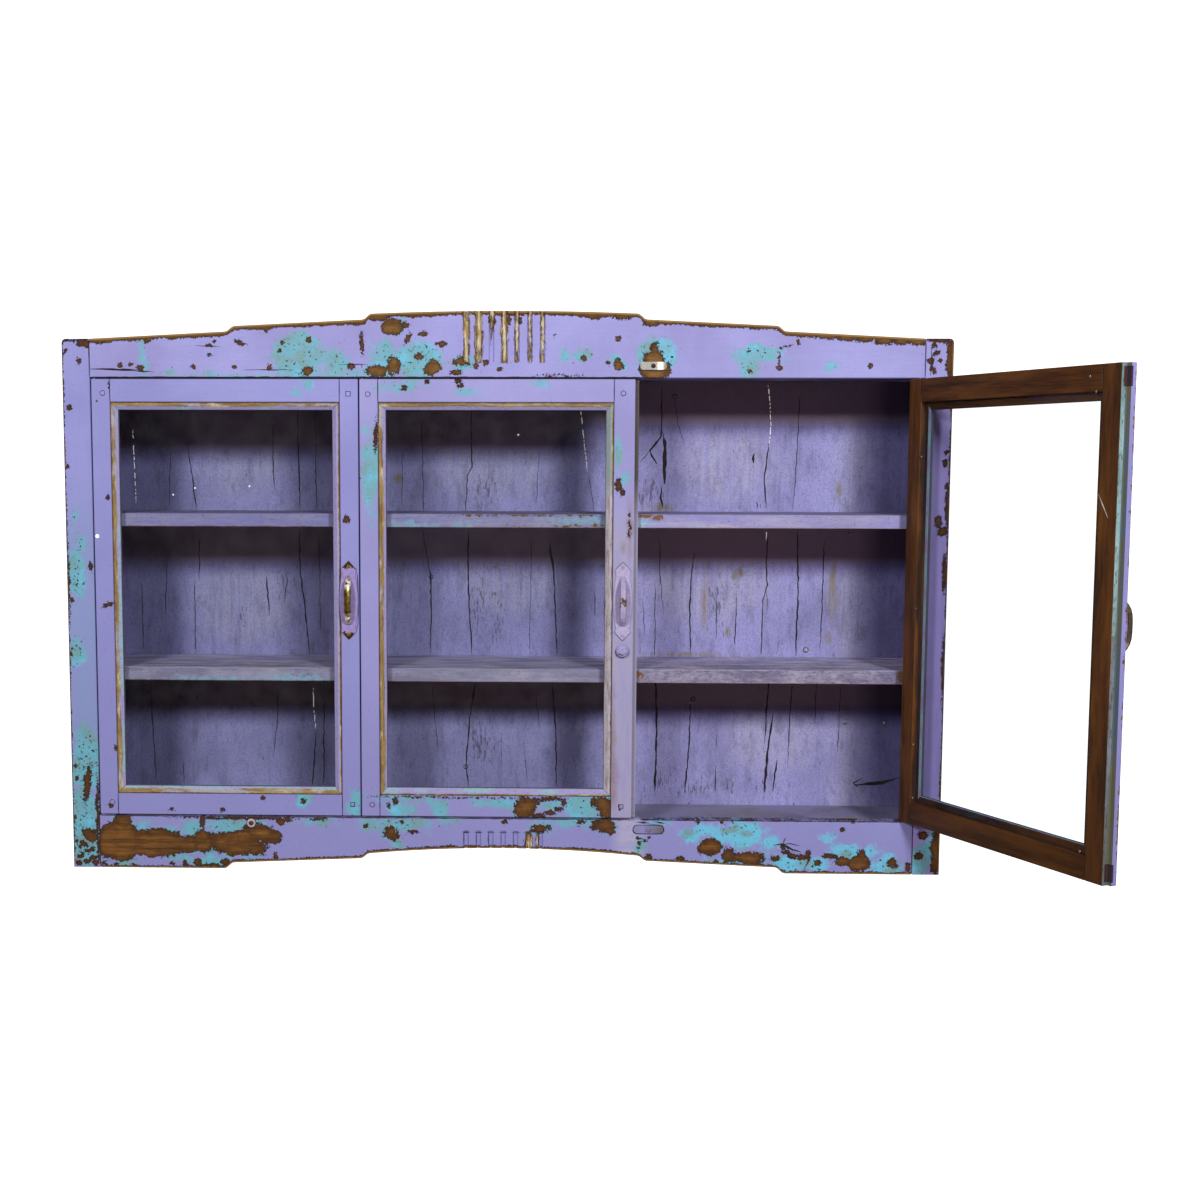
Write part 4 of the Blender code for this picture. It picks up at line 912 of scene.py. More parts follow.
def inner_paint(name, stains=(), worn=(), shaded=(), specks=(), colours=(LILAC_GREY, LILAC_SHADE), bay_shade=()):
    """Thin old paint inside the cabinet: streaked, rubbed pale, speckled and stained, with painted shade at
    the top of each bay and beside the stiles and doors, and a painted strip of light among the rubbed places.
    """
    shader = Shader(name)
    wide = shader.ragged(40.0, 30.0)
    near = shader.ragged(9.0, 8.0)
    streaks = shader.grain(5.0, "z", 22, 4.0, 0.62)
    colour = shader.tint(*colours, shader.noise(90, detail=4.0), 0.35, 0.65)
    colour = shader.tint(colour, colours[1], streaks, 0.5, 0.75, 0.5)
    # Rubbed pale places, one of them a painted strip of light
    rubbed = shader.step(shader.patches(wide, worn), -20.0, 15.0)
    rubbed = shader.times(rubbed, shader.step(streaks, 0.3, 0.62, 0.0, 0.8))
    colour = shader.mix(rubbed, colour, INNER_WORN_AND_LIT)
    colour = shader.tint(colour, GRIME_BLUE, shader.grain(15, "z", 3, 5.0, 0.72), 0.5, 0.68, 0.42)
    colour = shader.tint(colour, GRIME_BLUE, shader.noise(1.9), 0.44, 0.72, 0.42)
    flecks = shader.grain(2.6, "z", 5, 3.0, 0.6)
    crowd = shader.step(shader.patches(wide, specks), -14.0, 13.0, 0.0, 0.19)
    colour = shader.tint(colour, SPECK_BROWN, shader.math("ADD", flecks, crowd), 0.66, 0.74, 0.65)
    stain = shader.step(shader.patches(near, stains), -3.0, 3.0)
    stain = shader.times(stain, shader.step(streaks, 0.34, 0.56, 0.0, 0.9))
    colour = shader.mix(stain, colour, OLIVE)
    # Painted shade at the top of each bay
    colour = painted_bay_shade(shader, colour, bay_shade)
    # Painted shade beside the stiles and doors, weaker on the left
    shade = shader.step(shader.patches(shader.mm, shaded), -22.0, 14.0)
    shade = shader.times(shade, shader.step(shader.x, *SHADE_DEEPENS, 0.66, 1.0))
    colour = shader.mix(shade, colour, shader.vector("MULTIPLY", colour, SHADE_TINT))
    outside = shader.wood("z", OLD_BACK_DARK, OLD_BACK_PALE)
    colour = shader.tint(colour, outside, shader.y, *BACK_OUTSIDE)
    height = shader.scaled(flecks, 0.5, shader.times(streaks, 0.8))
    rough = shader.step(streaks, 0.3, 0.7, 0.6, 0.78)
    return shader.finish(colour, rough, height, 0.0004, specular_ior_level=0.25)


def shelf_lip(shader, scuffs, clouds, coarse, top, front, low_edge, edge_marks, blue_marks):
    """Front edge of a shelf: scuffed paint with a worn lower arris, pale blue patches and bare spots."""
    dark = shader.mix(coarse, front, SHELF_ROUGH)
    pale = shader.mix(coarse, LILAC_DUSTY, SHELF_ROUGH_PALE)
    lip = shader.tint(dark, pale, scuffs, 0.42, 0.66)
    lip = shader.tint(lip, top, clouds, 0.52, 0.72, 0.45)
    near = shader.ragged(9.0, 9.0, 5.0, 0.68)
    worn = shader.scaled(shader.centred(26, 5.0, 0.7), 7.0, shader.minus(low_edge / MM + 1.2, shader.z))
    arris = shader.tint(ARRIS_BROWN, ARRIS_PALE, shader.x, *ARRIS_PALES)
    lip = shader.tint(lip, arris, worn, -0.6, 0.8, 0.8)
    rag = shader.centred(8.0, 5.0, 0.7)
    coat = shader.scaled(rag, 30.0, shader.patches(near, blue_marks))
    lip = shader.tint(lip, PALE_BLUE, coat, -4.0, 3.0, 0.85)
    bare = shader.scaled(rag, 16.0, shader.patches(near, edge_marks))
    return shader.tint(lip, shader.wood("x", BARE_PALE, GOLD_DARK, 5.0), bare, -0.4, 0.4)


def shelf_paint(name, top, front, low_edge, edge_marks=(), blue_marks=(), rough=0.0):
    """Shelf boards: rubbed on top, painted along the front edge, coarse in the open bay."""
    shader = Shader(name)
    coarse = shader.step(shader.x, *OPEN_BAY_STARTS, 0.0, rough)
    scuffs = shader.grain(14, "x", 7, 5.0, 0.65)
    clouds = shader.noise(70, detail=4.0)
    tread = shader.tint(top, LILAC_SHADE, scuffs, 0.38, 0.62)
    tread = shader.tint(tread, GRIME, clouds, 0.5, 0.7, 0.35)
    lip = shelf_lip(shader, scuffs, clouds, coarse, top, front, low_edge, edge_marks, blue_marks)
    colour = shader.tint(lip, tread, shader.facing("z"), 0.4, 0.8)
    grit = shader.step(shader.grain(3.4, "x", 3, 5.0, 0.72), 0.44, 0.66)
    grit = shader.times(grit, shader.step(coarse, 0.0, 1.0, 0.15, 0.65))
    colour = shader.mix(grit, colour, GRIME_BLUE)
    dots = shader.scaled(coarse, 0.04, shader.grain(2.2, "x", 2, 3.0, 0.65))
    colour = shader.tint(colour, GRIME, dots, 0.62, 0.70, 0.6)
    fibres = shader.grain(1.6, "x", 20, 3.0)
    dull = shader.step(scuffs, 0.3, 0.7, 0.6, 0.8)
    return shader.finish(colour, dull, fibres, 0.0005, specular_ior_level=0.25)


def bead_back(shader, along, inset):
    """What the pane shows of a bead from inside: pale paint."""
    return shader.tint(BEAD_BLUE, BEAD_LILAC, shader.noise(60, detail=3.0), 0.45, 0.6)


def raw_bead_back(shader, along, inset):
    return raw_timber(shader, along)


def streaked_wood(shader, along):
    """Raw wood in plain dark and pale streaks, for the edges beside the pane."""
    return shader.tint(RAW_DARK, RAW_PALE, shader.grain(24, along, 4, 4.0), 0.4, 0.6)


def tinted_bead_back(shader, along, inset):
    """Raw wood over most of the bead, with a painted band of warm light at mid-height, then a light blue lip,
    wider beside the hinges.
    """
    width = 5.0 if along == "z" else 9.0
    lip = shader.tint(LIP_BLUE, BEAD_LILAC, shader.noise(30, detail=3.0), 0.42, 0.6)
    # Painted band of warm light at mid-height
    lit_waist = shader.step(shader.z, *AMBER_LIGHT_STARTS, 0.0, 0.8)
    lit_waist = shader.times(lit_waist, shader.step(shader.z, *AMBER_LIGHT_ENDS, 1.0, 0.0))
    glow = shader.mix(lit_waist, streaked_wood(shader, along), AMBER_LIGHT)
    return shader.tint(glow, lip, inset, width, width + 0.6)


def bead_paint(name, axis, outer, inward, gold, blue, turned=False, aged=False, back=bead_back):
    """Glazing bead: a worn band of dull gold on its outer flat, lilac or pale blue on the bevel."""
    shader = Shader(name, turned)
    along = "z" if axis == "x" else "x"
    place = shader.x if axis == "x" else shader.z
    inset = shader.times(shader.minus(place, outer / MM), inward)
    wobble = shader.scaled(shader.centred(14.0, 5.0, 0.68), 3.2, inset)
    patchy = shader.grain(30, along, 2, 5.0, 0.66)
    paint = shader.tint(BEAD_LILAC, BEAD_BLUE, patchy, 0.72 - blue * 0.4, 0.80 - blue * 0.4)
    gilt = shader.wood(along, GOLD_DARK, GOLD_PALE, 4.0)
    gilt = shader.tint(gilt, CREAM, shader.grain(8, along, 4, 4.0), 0.56, 0.68)
    gilt = shader.tint(BEAD_GREY, gilt, shader.grain(22, along, 3, 4.0, 0.65), 0.36, 0.46)
    width = shader.step(shader.noise(90, detail=3.0), 0.34, 0.62, gold * 0.8, gold * 1.15)
    if aged:
        streaks = shader.grain(4, along, 6, 5.0, 0.68)
        dusty = shader.tint(DUST_WHITE, OLD_BACK_DARK, streaks, 0.46, 0.66, 0.6)
        high = shader.step(shader.z, *OLD_BEAD_ENDS)
        paint = shader.mix(high, dusty, BEAD_TEAL)
        gilt = shader.mix(high, dusty, gilt)
    colour = shader.tint(paint, gilt, shader.minus(width, wobble), -0.4, 0.4)
    colour = shader.tint(colour, GRIME_BLUE, shader.grain(2.4, along, 2, 4.0, 0.68), 0.52, 0.7, 0.5)
    colour = shader.mix(shader.step(wobble, 0.6, 1.9, 0.95, 0.0), colour, BARE_DARK)
    colour = shader.tint(colour, GRIME, inset, 9.6, 10.1, 0.8)
    colour = shader.tint(colour, back(shader, along, inset), shader.y, BEAD_REAR, BEAD_REAR + 0.4)
    return shader.finish(colour, 0.6, shader.grain(1.5, along, 20, 3.0), 0.0004, specular_ior_level=0.3)


def right_edge_stile(name):
    """Free stile of the open door: lilac lip, brown arris, blue-grey rebate, pale worn edge, raw inside."""
    shader = Shader(name, turned=True)
    film, strokes = paint_film(shader, "z", (LILAC, LILAC_DEEP))
    near = shader.ragged(7.0, 6.0, 5.0, 0.68)
    rag = shader.centred(12.0, 6.0, 0.72)
    free_edge = shut_box(RIGHT_MEETING)[0].x / MM
    along_edge = shader.most(shader.minus(shader.x, free_edge), shader.minus(shader.y, FACE))
    small = shader.most(shader.chips(near, 30, 0.2, 3.0), shader.minus(1.2, along_edge))
    wood = timber(shader, "z", (BARE_DARK, BARE_PALE))
    colour = shader.tint(film, wood, shader.scaled(rag, 22.0, small), -0.3, 0.3)
    dirty = shader.step(shader.grain(20, "z", 4, 5.0, 0.65), 0.38, 0.62)
    colour = shader.tint(colour, shader.mix(dirty, *REBATE_COLOURS), shader.y, LIP_BACK - 0.4, LIP_BACK - 0.2)
    bright = shader.mix(dirty, *EDGE_BRIGHT)
    dull = shader.mix(dirty, *EDGE_DULL)
    edge = shader.tint(dull, bright, shader.z, EDGE_NOTCH - 1.0, EDGE_NOTCH + 1.0)
    edge = shader.tint(edge, GRIME, shader.grain(2.4, "z", 4, 3.0), 0.52, 0.68, 0.75)
    edge = shader.tint(OLIVE_DARK, edge, shader.y, LIP_BACK + 1.8, LIP_BACK + 2.6)
    colour = shader.tint(colour, edge, shader.y, LIP_BACK + 0.8, LIP_BACK + 1.4)
    colour = shader.tint(colour, raw_timber(shader, "z"), shader.y, DOOR_INNER - 0.9, DOOR_INNER - 0.4)
    return shader.finish(colour, 0.62, strokes, 0.0003, specular_ior_level=0.3)


def right_hinge_stile(name):
    """Hinge stile of the open door, with a streaked raw edge beside the pane."""
    inner_edge = shut_box("right_door_hinge_stile")[0].x / MM

    def lit(shader, along):
        beside = shader.step(shader.x, inner_edge + 0.3, inner_edge + 0.9, 1.0, 0.0)
        return shader.mix(beside, raw_timber(shader, along), streaked_wood(shader, along))

    return painted(name, "z", colours=DOOR_AND_LEFT_SHADE_COLOURS, turned=True, raw=lit)


def back_lip_stile(name):
    """Meeting stile of the middle door: dusty handled paint, with an olive to grey lip behind its edge."""
    def dust(shader):
        return shader.step(shader.z, *MEETING_DUST_STARTS, 0.1, 1.0)

    return painted(name, "z", MEETING_BARE, MEETING_BLUE, dusty=dust, veil=MEETING_DUST, reveal=middle_lip,
                   stains=MEETING_STAINS)


def middle_lip(shader):
    return shader.tint(LIP_PALE, LIP_OLIVE, shader.z, *MIDDLE_LIP_DARKENS)


def middle_tenon(shader):
    """Edges of the middle door's rails: dirty, but painted as the lip where their tenons come through it."""
    return shader.tint(GRIME, middle_lip(shader), shader.x, MIDDLE_TENONS, MIDDLE_TENONS + 2.0)


def ended(place, beyond, colour):
    """Raw back of a door's rails, with another colour where their tenons come through the free edge."""
    def raw(shader, along):
        return shader.tint(raw_timber(shader, along), colour, shader.x, place, place + beyond)

    return raw


def glass(name):
    """Old window glass: thin, faintly grey, with a soft shine and a breath of dust."""
    shader = Shader(name)
    clear = shader.node("ShaderNodeBsdfTransparent", {"Color": GLASS_CLEAR})
    ripple = shader.bump(shader.noise(60), 0.0006)
    shine = shader.node("ShaderNodeBsdfGlossy", {"Roughness": 0.06, "Normal": ripple})
    dust = shader.node("ShaderNodeBsdfDiffuse", {"Color": GLASS_DUST})
    slant = shader.node("ShaderNodeLayerWeight", {"Blend": 0.5}, output="Facing")
    mirrored = shader.scaled(shader.math("POWER", slant, 5.0), 0.5, 0.012)
    mirror = shader.node("ShaderNodeMixShader", {0: mirrored, 1: clear, 2: shine})
    haze = shader.step(shader.noise(30, detail=5.0, roughness=0.6), 0.35, 0.75, 0.0, 0.014)
    return shader.output(shader.node("ShaderNodeMixShader", {0: haze, 1: mirror, 2: dust}))


def worn_brass(name, painted_over=False, turned=False, dull=0.0):
    """Cast pull: a rubbed brass grip with painted highlights near its ends on a painted plate with brown
    tips, or all painted.
    """
    shader = Shader(name, turned)
    proud = shader.minus(FACE, shader.y)
    away = shader.math("ABSOLUTE", shader.z)
    tarnish = shader.noise(6.0, detail=4.0, roughness=0.6)
    rubbed = shader.noise(5.0, detail=4.0, roughness=0.65)
    # Painted highlights near both ends of the grip
    ends = shader.times(shader.step(away, 15.0, 22.0), shader.step(away, 28.0, 35.0, 1.0, 0.0))
    painted_glint = shader.times(ends, shader.step(rubbed, 0.42, 0.52))
    metal = shader.tint(BRASS, BRASS_DARK, tarnish, 0.42, 0.62)
    metal = shader.mix(dull, shader.mix(painted_glint, metal, BRASS_GLINT), KEEP_DARK)
    tips = shader.step(shader.scaled(rubbed, 24.0, away), 56.0, 58.0)
    if painted_over:
        paint = HANDLED_COLOURS
        worn_spot = shader.times(shader.step(away, 5.0, 9.0, 1.0, 0.0), shader.step(proud, 12.0, 14.0))
        bare = shader.step(shader.scaled(worn_spot, 0.22, rubbed), 0.67, 0.70)
    else:
        paint = PLATE_PAINT
        bare = shader.most(shader.step(proud, 3.5, 6.0), tips)
    colour = shader.mix(bare, shader.tint(*paint, tarnish, 0.4, 0.6), metal)
    if not painted_over:
        colour = shader.mix(shader.times(tips, 0.9), colour, BARE_DARK)
    rough = shader.blend(bare, 0.55, shader.step(tarnish, 0.3, 0.7, 0.24, 0.46))
    metallic = shader.times(bare, shader.step(painted_glint, 0.0, 1.0, 0.9 - dull, 0.15))
    return shader.finish(colour, rough, tarnish, 0.0004, metallic=metallic)


def old_metal(name, pale, dark, metallic=0.9):
    """Plain screws, nails and pins: dull metal with rust in its pits."""
    shader = Shader(name)
    pits = shader.noise(2.5, detail=4.0, roughness=0.6)
    colour = shader.tint(pale, dark, pits, 0.48, 0.64)
    return shader.finish(colour, shader.step(pits, 0.3, 0.7, 0.3, 0.6), pits, 0.0002, metallic=metallic)


def keep_metal(name):
    """Metal strip over the right door: grey and pitted, with dark ends and one painted glint."""
    shader = Shader(name)
    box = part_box("top_keep")
    # Painted glint along the keep
    shine = shader.curve(shader.step(shader.x, box[0].x / MM, box[1].x / MM), KEEP_GLINT)
    pits = shader.noise(1.6, detail=4.0, roughness=0.65)
    colour = shader.tint(shader.mix(shine, KEEP_DARK, STEEL_GLINT), RUST, pits, 0.52, 0.66, 0.6)
    return shader.finish(colour, shader.step(pits, 0.3, 0.7, 0.3, 0.6), pits, 0.0002, metallic=0.35)


def button_paint(name, colours):
    """Turn button: dusty lilac, with a dark handled end."""
    def handled(shader):
        return shader.step(shader.x, *BUTTON_DARKENS, 0.15, 1.0)

    return painted(name, "x", raw=None, dusty=handled, veil=BUTTON_VEIL, reveal=None, colours=colours)


def crack_fill(name, colour, glow=0.0):
    """Dark bottom of a crack, or daylight through one painted as a glow."""
    shader = Shader(name)
    shown = shader.tint(colour, WHITE if glow else GRIME, shader.noise(8, detail=3.0), 0.35, 0.7, 0.5)
    return shader.finish(shown, 0.9, emission_color=colour, emission_strength=glow)


# Meshes of added pieces
def opened(mesh):
    """Turns a mesh made for the shut right door to where that door stands open."""
    to_pivot = Matrix.Translation(RIGHT_PIVOT)
    mesh.transform(to_pivot @ Matrix.Rotation(RIGHT_ANGLE, 4, "Z") @ to_pivot.inverted())


def add_piece(mesh, body, material):
    """Makes a piece of a mesh. Meshes for the right door are made with that door shut."""
    if body == "right_door":
        opened(mesh)
    piece = bpy.data.objects.new(mesh.name, mesh)
    bpy.context.scene.collection.objects.link(piece)
    mesh.materials.append(material)
    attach(piece, body)


def mesh_of(name, bm):
    mesh = bpy.data.meshes.new(name)
    bm.to_mesh(mesh)
    bm.free()
    return mesh


def loft(bm, rings):
    """Joins rings of points by faces and closes the last ring."""
    for low, high in zip(rings, rings[1:]):
        for i in range(len(low)):
            j = (i + 1) % len(low)
            bm.faces.new((low[i], high[i], high[j], low[j]))
    bm.faces.new(reversed(rings[-1]))


def split_run(run, dice, crook, spacing):
    """Points along a crack, close together and a little crooked, each with the crack's width there."""
    points = []
    for (x0, z0, w0), (x1, z1, w1) in zip(run, run[1:]):
        count = max(2, int(math.hypot(x1 - x0, z1 - z0) / spacing))
        for i in range(count):
            t = i / count
            points.append((x0 + (x1 - x0) * t, z0 + (z1 - z0) * t, w0 + (w1 - w0) * t))
    points.append(run[-1])
    return [(x + dice.uniform(-crook, crook), z + dice.uniform(-crook, crook), width * dice.uniform(0.6, 1.3))
            for x, z, width in points]


def crack_mesh(name, runs, place, gaps=0.0, crook=0.7, spacing=7.0):
    """Thin crooked strips that taper at both ends. place turns x and z in millimetres into a point."""
    dice = random.Random(name)
    bm = bmesh.new()
    for run in runs:
        points = split_run(run, dice, crook, spacing)
        rows = []
        for i, (x, z, width) in enumerate(points):
            before = points[max(0, i - 1)]
            after = points[min(len(points) - 1, i + 1)]
            way = Vector((after[0] - before[0], after[1] - before[1])).normalized()
            half = width / 2 * min(1.0, 0.25 + 0.4 * min(i, len(points) - 1 - i))
            edges = [place(x - way.y * reach, z + way.x * reach) for reach in (-half, half)]
            rows.append([bm.verts.new(edge) for edge in edges])
        for low, high in zip(rows, rows[1:]):
            if dice.random() >= gaps:
                bm.faces.new((low[0], low[1], high[1], high[0]))
    return mesh_of(name, bm)


def stud_mesh(name, places, size, sides=14, slot_turn=None):
    """Small domed heads on faces that look towards -Y, with a cut slot where they are screws."""
    radius, height = size
    bm = bmesh.new()
    for x, y, z in places:
        rings = []
        for share, rise in STUD_PROFILE:
            ring = []
            for i in range(sides):
                angle = math.tau * i / sides
                across = radius * share * math.cos(angle)
                up = radius * share * math.sin(angle)
                sunk = slot_turn is not None and abs(up - across * slot_turn) < radius * SLOT_SHARE
                lift = height * (rise * SLOT_FLOOR if sunk else rise)
                ring.append(bm.verts.new((x + across, y - lift, z + up)))
            rings.append(ring)
        loft(bm, rings)
    return mesh_of(name, bm)


def peg_mesh(name, places, square):
    """Ends of the pegs that lock the door joints, round or square, standing a hair proud of the paint."""
    radius, proud = PEG_SIZE
    bm = bmesh.new()
    dice = random.Random(name)
    for number, (x, y, z) in enumerate(places):
        sides = 4 if number in square else 12
        turn = math.pi / 4 + dice.uniform(-0.2, 0.2)
        rings = []
        for share, lift in PEG_PROFILE:
            ring = []
            for i in range(sides):
                angle = turn + math.tau * i / sides
                reach = radius * share * dice.uniform(0.94, 1.06)
                corner = (x + reach * math.cos(angle), y - proud * lift, z + reach * math.sin(angle))
                ring.append(bm.verts.new(corner))
            rings.append(ring)
        loft(bm, rings)
    return mesh_of(name, bm)


def ring_mesh(name, rings, place, width, square=()):
    """Flat uneven rings, each as its x, z and outer radius in millimetres."""
    bm = bmesh.new()
    dice = random.Random(name)
    for number, (x, z, radius) in enumerate(rings):
        sides = 4 if number in square else 18
        pairs = []
        for i in range(sides):
            angle = math.pi / 4 + math.tau * i / sides
            outer = radius * dice.uniform(0.93, 1.07)
            reaches = (outer, outer - width * dice.uniform(0.7, 1.2))
            across = math.cos(angle)
            up = math.sin(angle)
            pairs.append([bm.verts.new(place(x + reach * across, z + reach * up)) for reach in reaches])
        for first, second in zip(pairs, [*pairs[1:], pairs[0]]):
            bm.faces.new((first[0], second[0], second[1], first[1]))
    return mesh_of(name, bm)


def turned_round(mesh, y):
    """Mirrors heads to look towards +Y, for the inner face of a door."""
    for vertex in mesh.vertices:
        vertex.co.y = 2 * y - vertex.co.y
    mesh.flip_normals()
    return mesh


def on_plane(y):
    """A function that turns x and z in millimetres into a point at that depth."""
    def place(x, z):
        return (x * MM, y, z * MM)

    return place


ON_FRONT = on_plane(FRONT - LINE_LIFT)
ON_BACK = on_plane(BACK_FACE - LINE_LIFT)
ON_DOOR_BACK = on_plane(DOOR_BACK + LINE_LIFT)
UNDER_BUTTON = on_plane(FRONT - 2 * LINE_LIFT)


def on_knob(x, z):
    """A point just in front of the middle door's knob."""
    start = (x * MM, CAD_BOX[0].y, z * MM)
    hit, place, *_ = NODES["middle_door_knob"].ray_cast(start, (0, 1, 0))
    return (x * MM, (place.y if hit else FRONT) - LINE_LIFT, z * MM)


def shifted(runs, x_shift, z_shift=0.0):
    return [[(x + x_shift, z + z_shift, width) for x, z, width in run] for run in runs]


def button_outline():
    """A dark closed run around the turn button, boldest below it, where it is also a painted shadow, and at
    its handled end.
    """
    low, high = (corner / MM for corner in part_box("turn_button"))
    middle = (low + high) / 2
    radius = (high.z - low.z) / 2
    reach = (high.x - low.x) / 2 - radius
    run = []
    for number in range(BUTTON_STEPS + 2):
        angle = math.tau * (number + 0.5) / BUTTON_STEPS + math.pi / 2
        end = reach if math.cos(angle) > 0 else -reach
        width = OUTLINE_WIDTH + OUTLINE_MORE_RIGHT * math.cos(angle) - OUTLINE_SHADOW_BELOW * math.sin(angle)
        run.append((middle.x + end + radius * math.cos(angle), middle.z + radius * math.sin(angle), width))
    return run


# Looks of the CAD nodes
def shut_box(name):
    """Lowest and highest corners of a node, those of the right door with that door shut."""
    points = [vertex.co for vertex in NODES[name].data.vertices]
    if name.startswith("right_door"):
        to_pivot = Matrix.Translation(RIGHT_PIVOT)
        back = to_pivot @ Matrix.Rotation(-RIGHT_ANGLE, 4, "Z") @ to_pivot.inverted()
        points = [back @ point for point in points]
    return tuple(Vector([pick(p[i] for p in points) for i in range(3)]) for pick in (min, max))


def door_joints(side):
    """Lines where a door's stiles meet its rails, with the door shut."""
    parts = ("hinge_stile", "meeting_stile", "top_rail", "bottom_rail")
    hinge, meeting, top, bottom = (shut_box(f"{side}_door_{part}") for part in parts)
    left, right = sorted((hinge, meeting), key=lambda box: box[0].x)
    runs = []
    for x in (left[1].x, right[0].x):
        for box in (top, bottom):
            runs.append([(x / MM, corner.z / MM, JOINT_WIDTH) for corner in box])
    return runs


def dress(names, material):
    for name in names:
        NODES[name].data.materials.clear()
        NODES[name].data.materials.append(material)


def dress_frame():
    def pediment_top(shader):
        return rail_edge(shader, "pediment_rail", True)

    def base_edges(shader):
        ledge = shader.minus(OPENING_BOTTOM / MM + LEDGE_RISE, shader.z)
        ledge = shader.math("ADD", ledge, shader.step(shader.x, *LEDGE_STARTS, LEDGE_AWAY, 0.0))
        return shader.math("MINIMUM", rail_edge(shader, "base_rail", False), ledge)

    def left_edge(shader):
        return shader.minus(shader.x, -HALF)

    def right_edge(shader):
        return shader.minus(HALF, shader.x)

    def dusty_foot(shader):
        starts = shader.step(shader.x, *FOOT_STARTS)
        return shader.times(starts, shader.step(shader.x, *FOOT_ENDS, 1.0, 0.0))

    def sky_right(shader):
        return shader.step(shader.x, *SKY_GROWS, 0.03, 0.26)

    def sky_left(shader):
        upper = shader.step(shader.z, *STILE_SKY_STARTS, 0.0, 0.4)
        return shader.times(upper, shader.step(shader.z, *STILE_SKY_ENDS))

    # Share of brighter purple on the right stile, partly painted light against the open door's shadow
    def purple_and_light(shader):
        return shader.step(shader.z, *PURPLE_LIGHT_STARTS, 0.0, 0.8)

    plain = {"raw": None, "reveal": None}
    dress(["pediment_rail"], painted("pediment_paint", "x", PEDIMENT_BARE, PEDIMENT_BLUE, pediment_top, 5.2,
                                     gold=PEDIMENT_GOLD, tones=PEDIMENT_WOOD, flecked=0.05, **plain))
    dress(["base_rail"], painted("base_paint", "x", BASE_BARE, BASE_BLUE, base_edges, 2.8, bright=sky_right,
                                 gold=BASE_GOLD, dusty=dusty_foot, flecked=0.05, **plain))
    dress(["left_stile"], painted("left_stile_paint", "z", LEFT_STILE_BARE, LEFT_STILE_BLUE, left_edge, 1.7,
                                  DOOR_AND_LEFT_SHADE_COLOURS, flecked=0.08, dusty=sky_left, veil=STILE_SKY, **plain))
    dress(["right_stile"], painted("right_stile_paint", "z", RIGHT_STILE_BARE, RIGHT_STILE_BLUE, right_edge,
                                   2.0, dusty=purple_and_light, veil=STILE_PURPLE_AND_LIGHT, **plain))


def dress_carcass(back_paint):
    # Side panels in darker lilac, as painted shade
    dress(["left_side", "right_side"], inner_paint("side_paint", colours=SIDE_SHADED_COLOURS))
    dress([f"back_board_{number}" for number in range(1, BACK_BOARDS + 1)], back_paint)
    upper, lower = (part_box(name)[0].z for name in ("upper_shelf", "lower_shelf"))
    dress(["upper_shelf"], shelf_paint("upper_shelf_paint", SHELF_MAUVE, SHELF_LILAC, upper, UPPER_SHELF_BARE,
                                       UPPER_SHELF_BLUE))
    dress(["lower_shelf"], shelf_paint("lower_shelf_paint", SHELF_GREY, SHELF_MAUVE, lower, LOWER_SHELF_BARE,
                                       LOWER_SHELF_BLUE, 1.0))
    dress(["bottom_board"], shelf_paint("floor_paint", FLOOR_GREY, FLOOR_GREY, OPENING_BOTTOM))
    # The top board's front and underside are painted dark as shade
    dress(["top_board"], shelf_paint("top_board_paint", SHELF_GREY, TOP_BOARD_SHADE, OPENING_TOP))


def dress_door(side, bare, blue, pane):
    turned = side == "right"
    colours = MIDDLE_COLOURS if side == "middle" else DOOR_AND_LEFT_SHADE_COLOURS
    stile = painted(f"{side}_door_stile_paint", "z", bare, blue, colours=colours, turned=turned)
    free_edge = shut_box(RIGHT_MEETING)[0].x / MM
    backs = {"middle": ended(MIDDLE_TENONS, 2.0, LIP_GREY), "right": ended(free_edge + 3.0, -2.0, TENON_GREY)}
    rail = painted(f"{side}_door_rail_paint", "x", bare, blue, colours=colours, turned=turned,
                   raw=backs.get(side, raw_timber), reveal=middle_tenon if side == "middle" else grimy)
    dress([f"{side}_door_hinge_stile", f"{side}_door_meeting_stile"], stile)
    dress([f"{side}_door_top_rail", f"{side}_door_bottom_rail"], rail)
    dress_beads(side, turned)
    dress([f"{side}_door_glass"], pane)


def dress_beads(side, turned):
    """Each bead is coloured by the distance from its own outer edge."""
    shut = {run: shut_box(f"{side}_door_{run}_bead") for run in ("hinge", "meeting", "top", "bottom")}
    left, right = sorted(("hinge", "meeting"), key=lambda run: shut[run][0].x)
    outer = {
        left: ("x", shut[left][0].x, 1.0),
        right: ("x", shut[right][1].x, -1.0),
        "top": ("z", shut["top"][1].z, -1.0),
        "bottom": ("z", shut["bottom"][0].z, 1.0),
    }
    for run, (axis, edge, inward) in outer.items():
        gold, blue = BEAD_WEAR.get((side, run), BEAD_WEAR[run])
        aged = run == "meeting" and side == "middle"
        back = bead_back
        if turned:
            back = raw_bead_back if run in ("top", "meeting") else tinted_bead_back
        material = bead_paint(f"{side}_{run}_bead_paint", axis, edge, inward, gold, blue, turned, aged, back)
        dress([f"{side}_door_{run}_bead"], material)


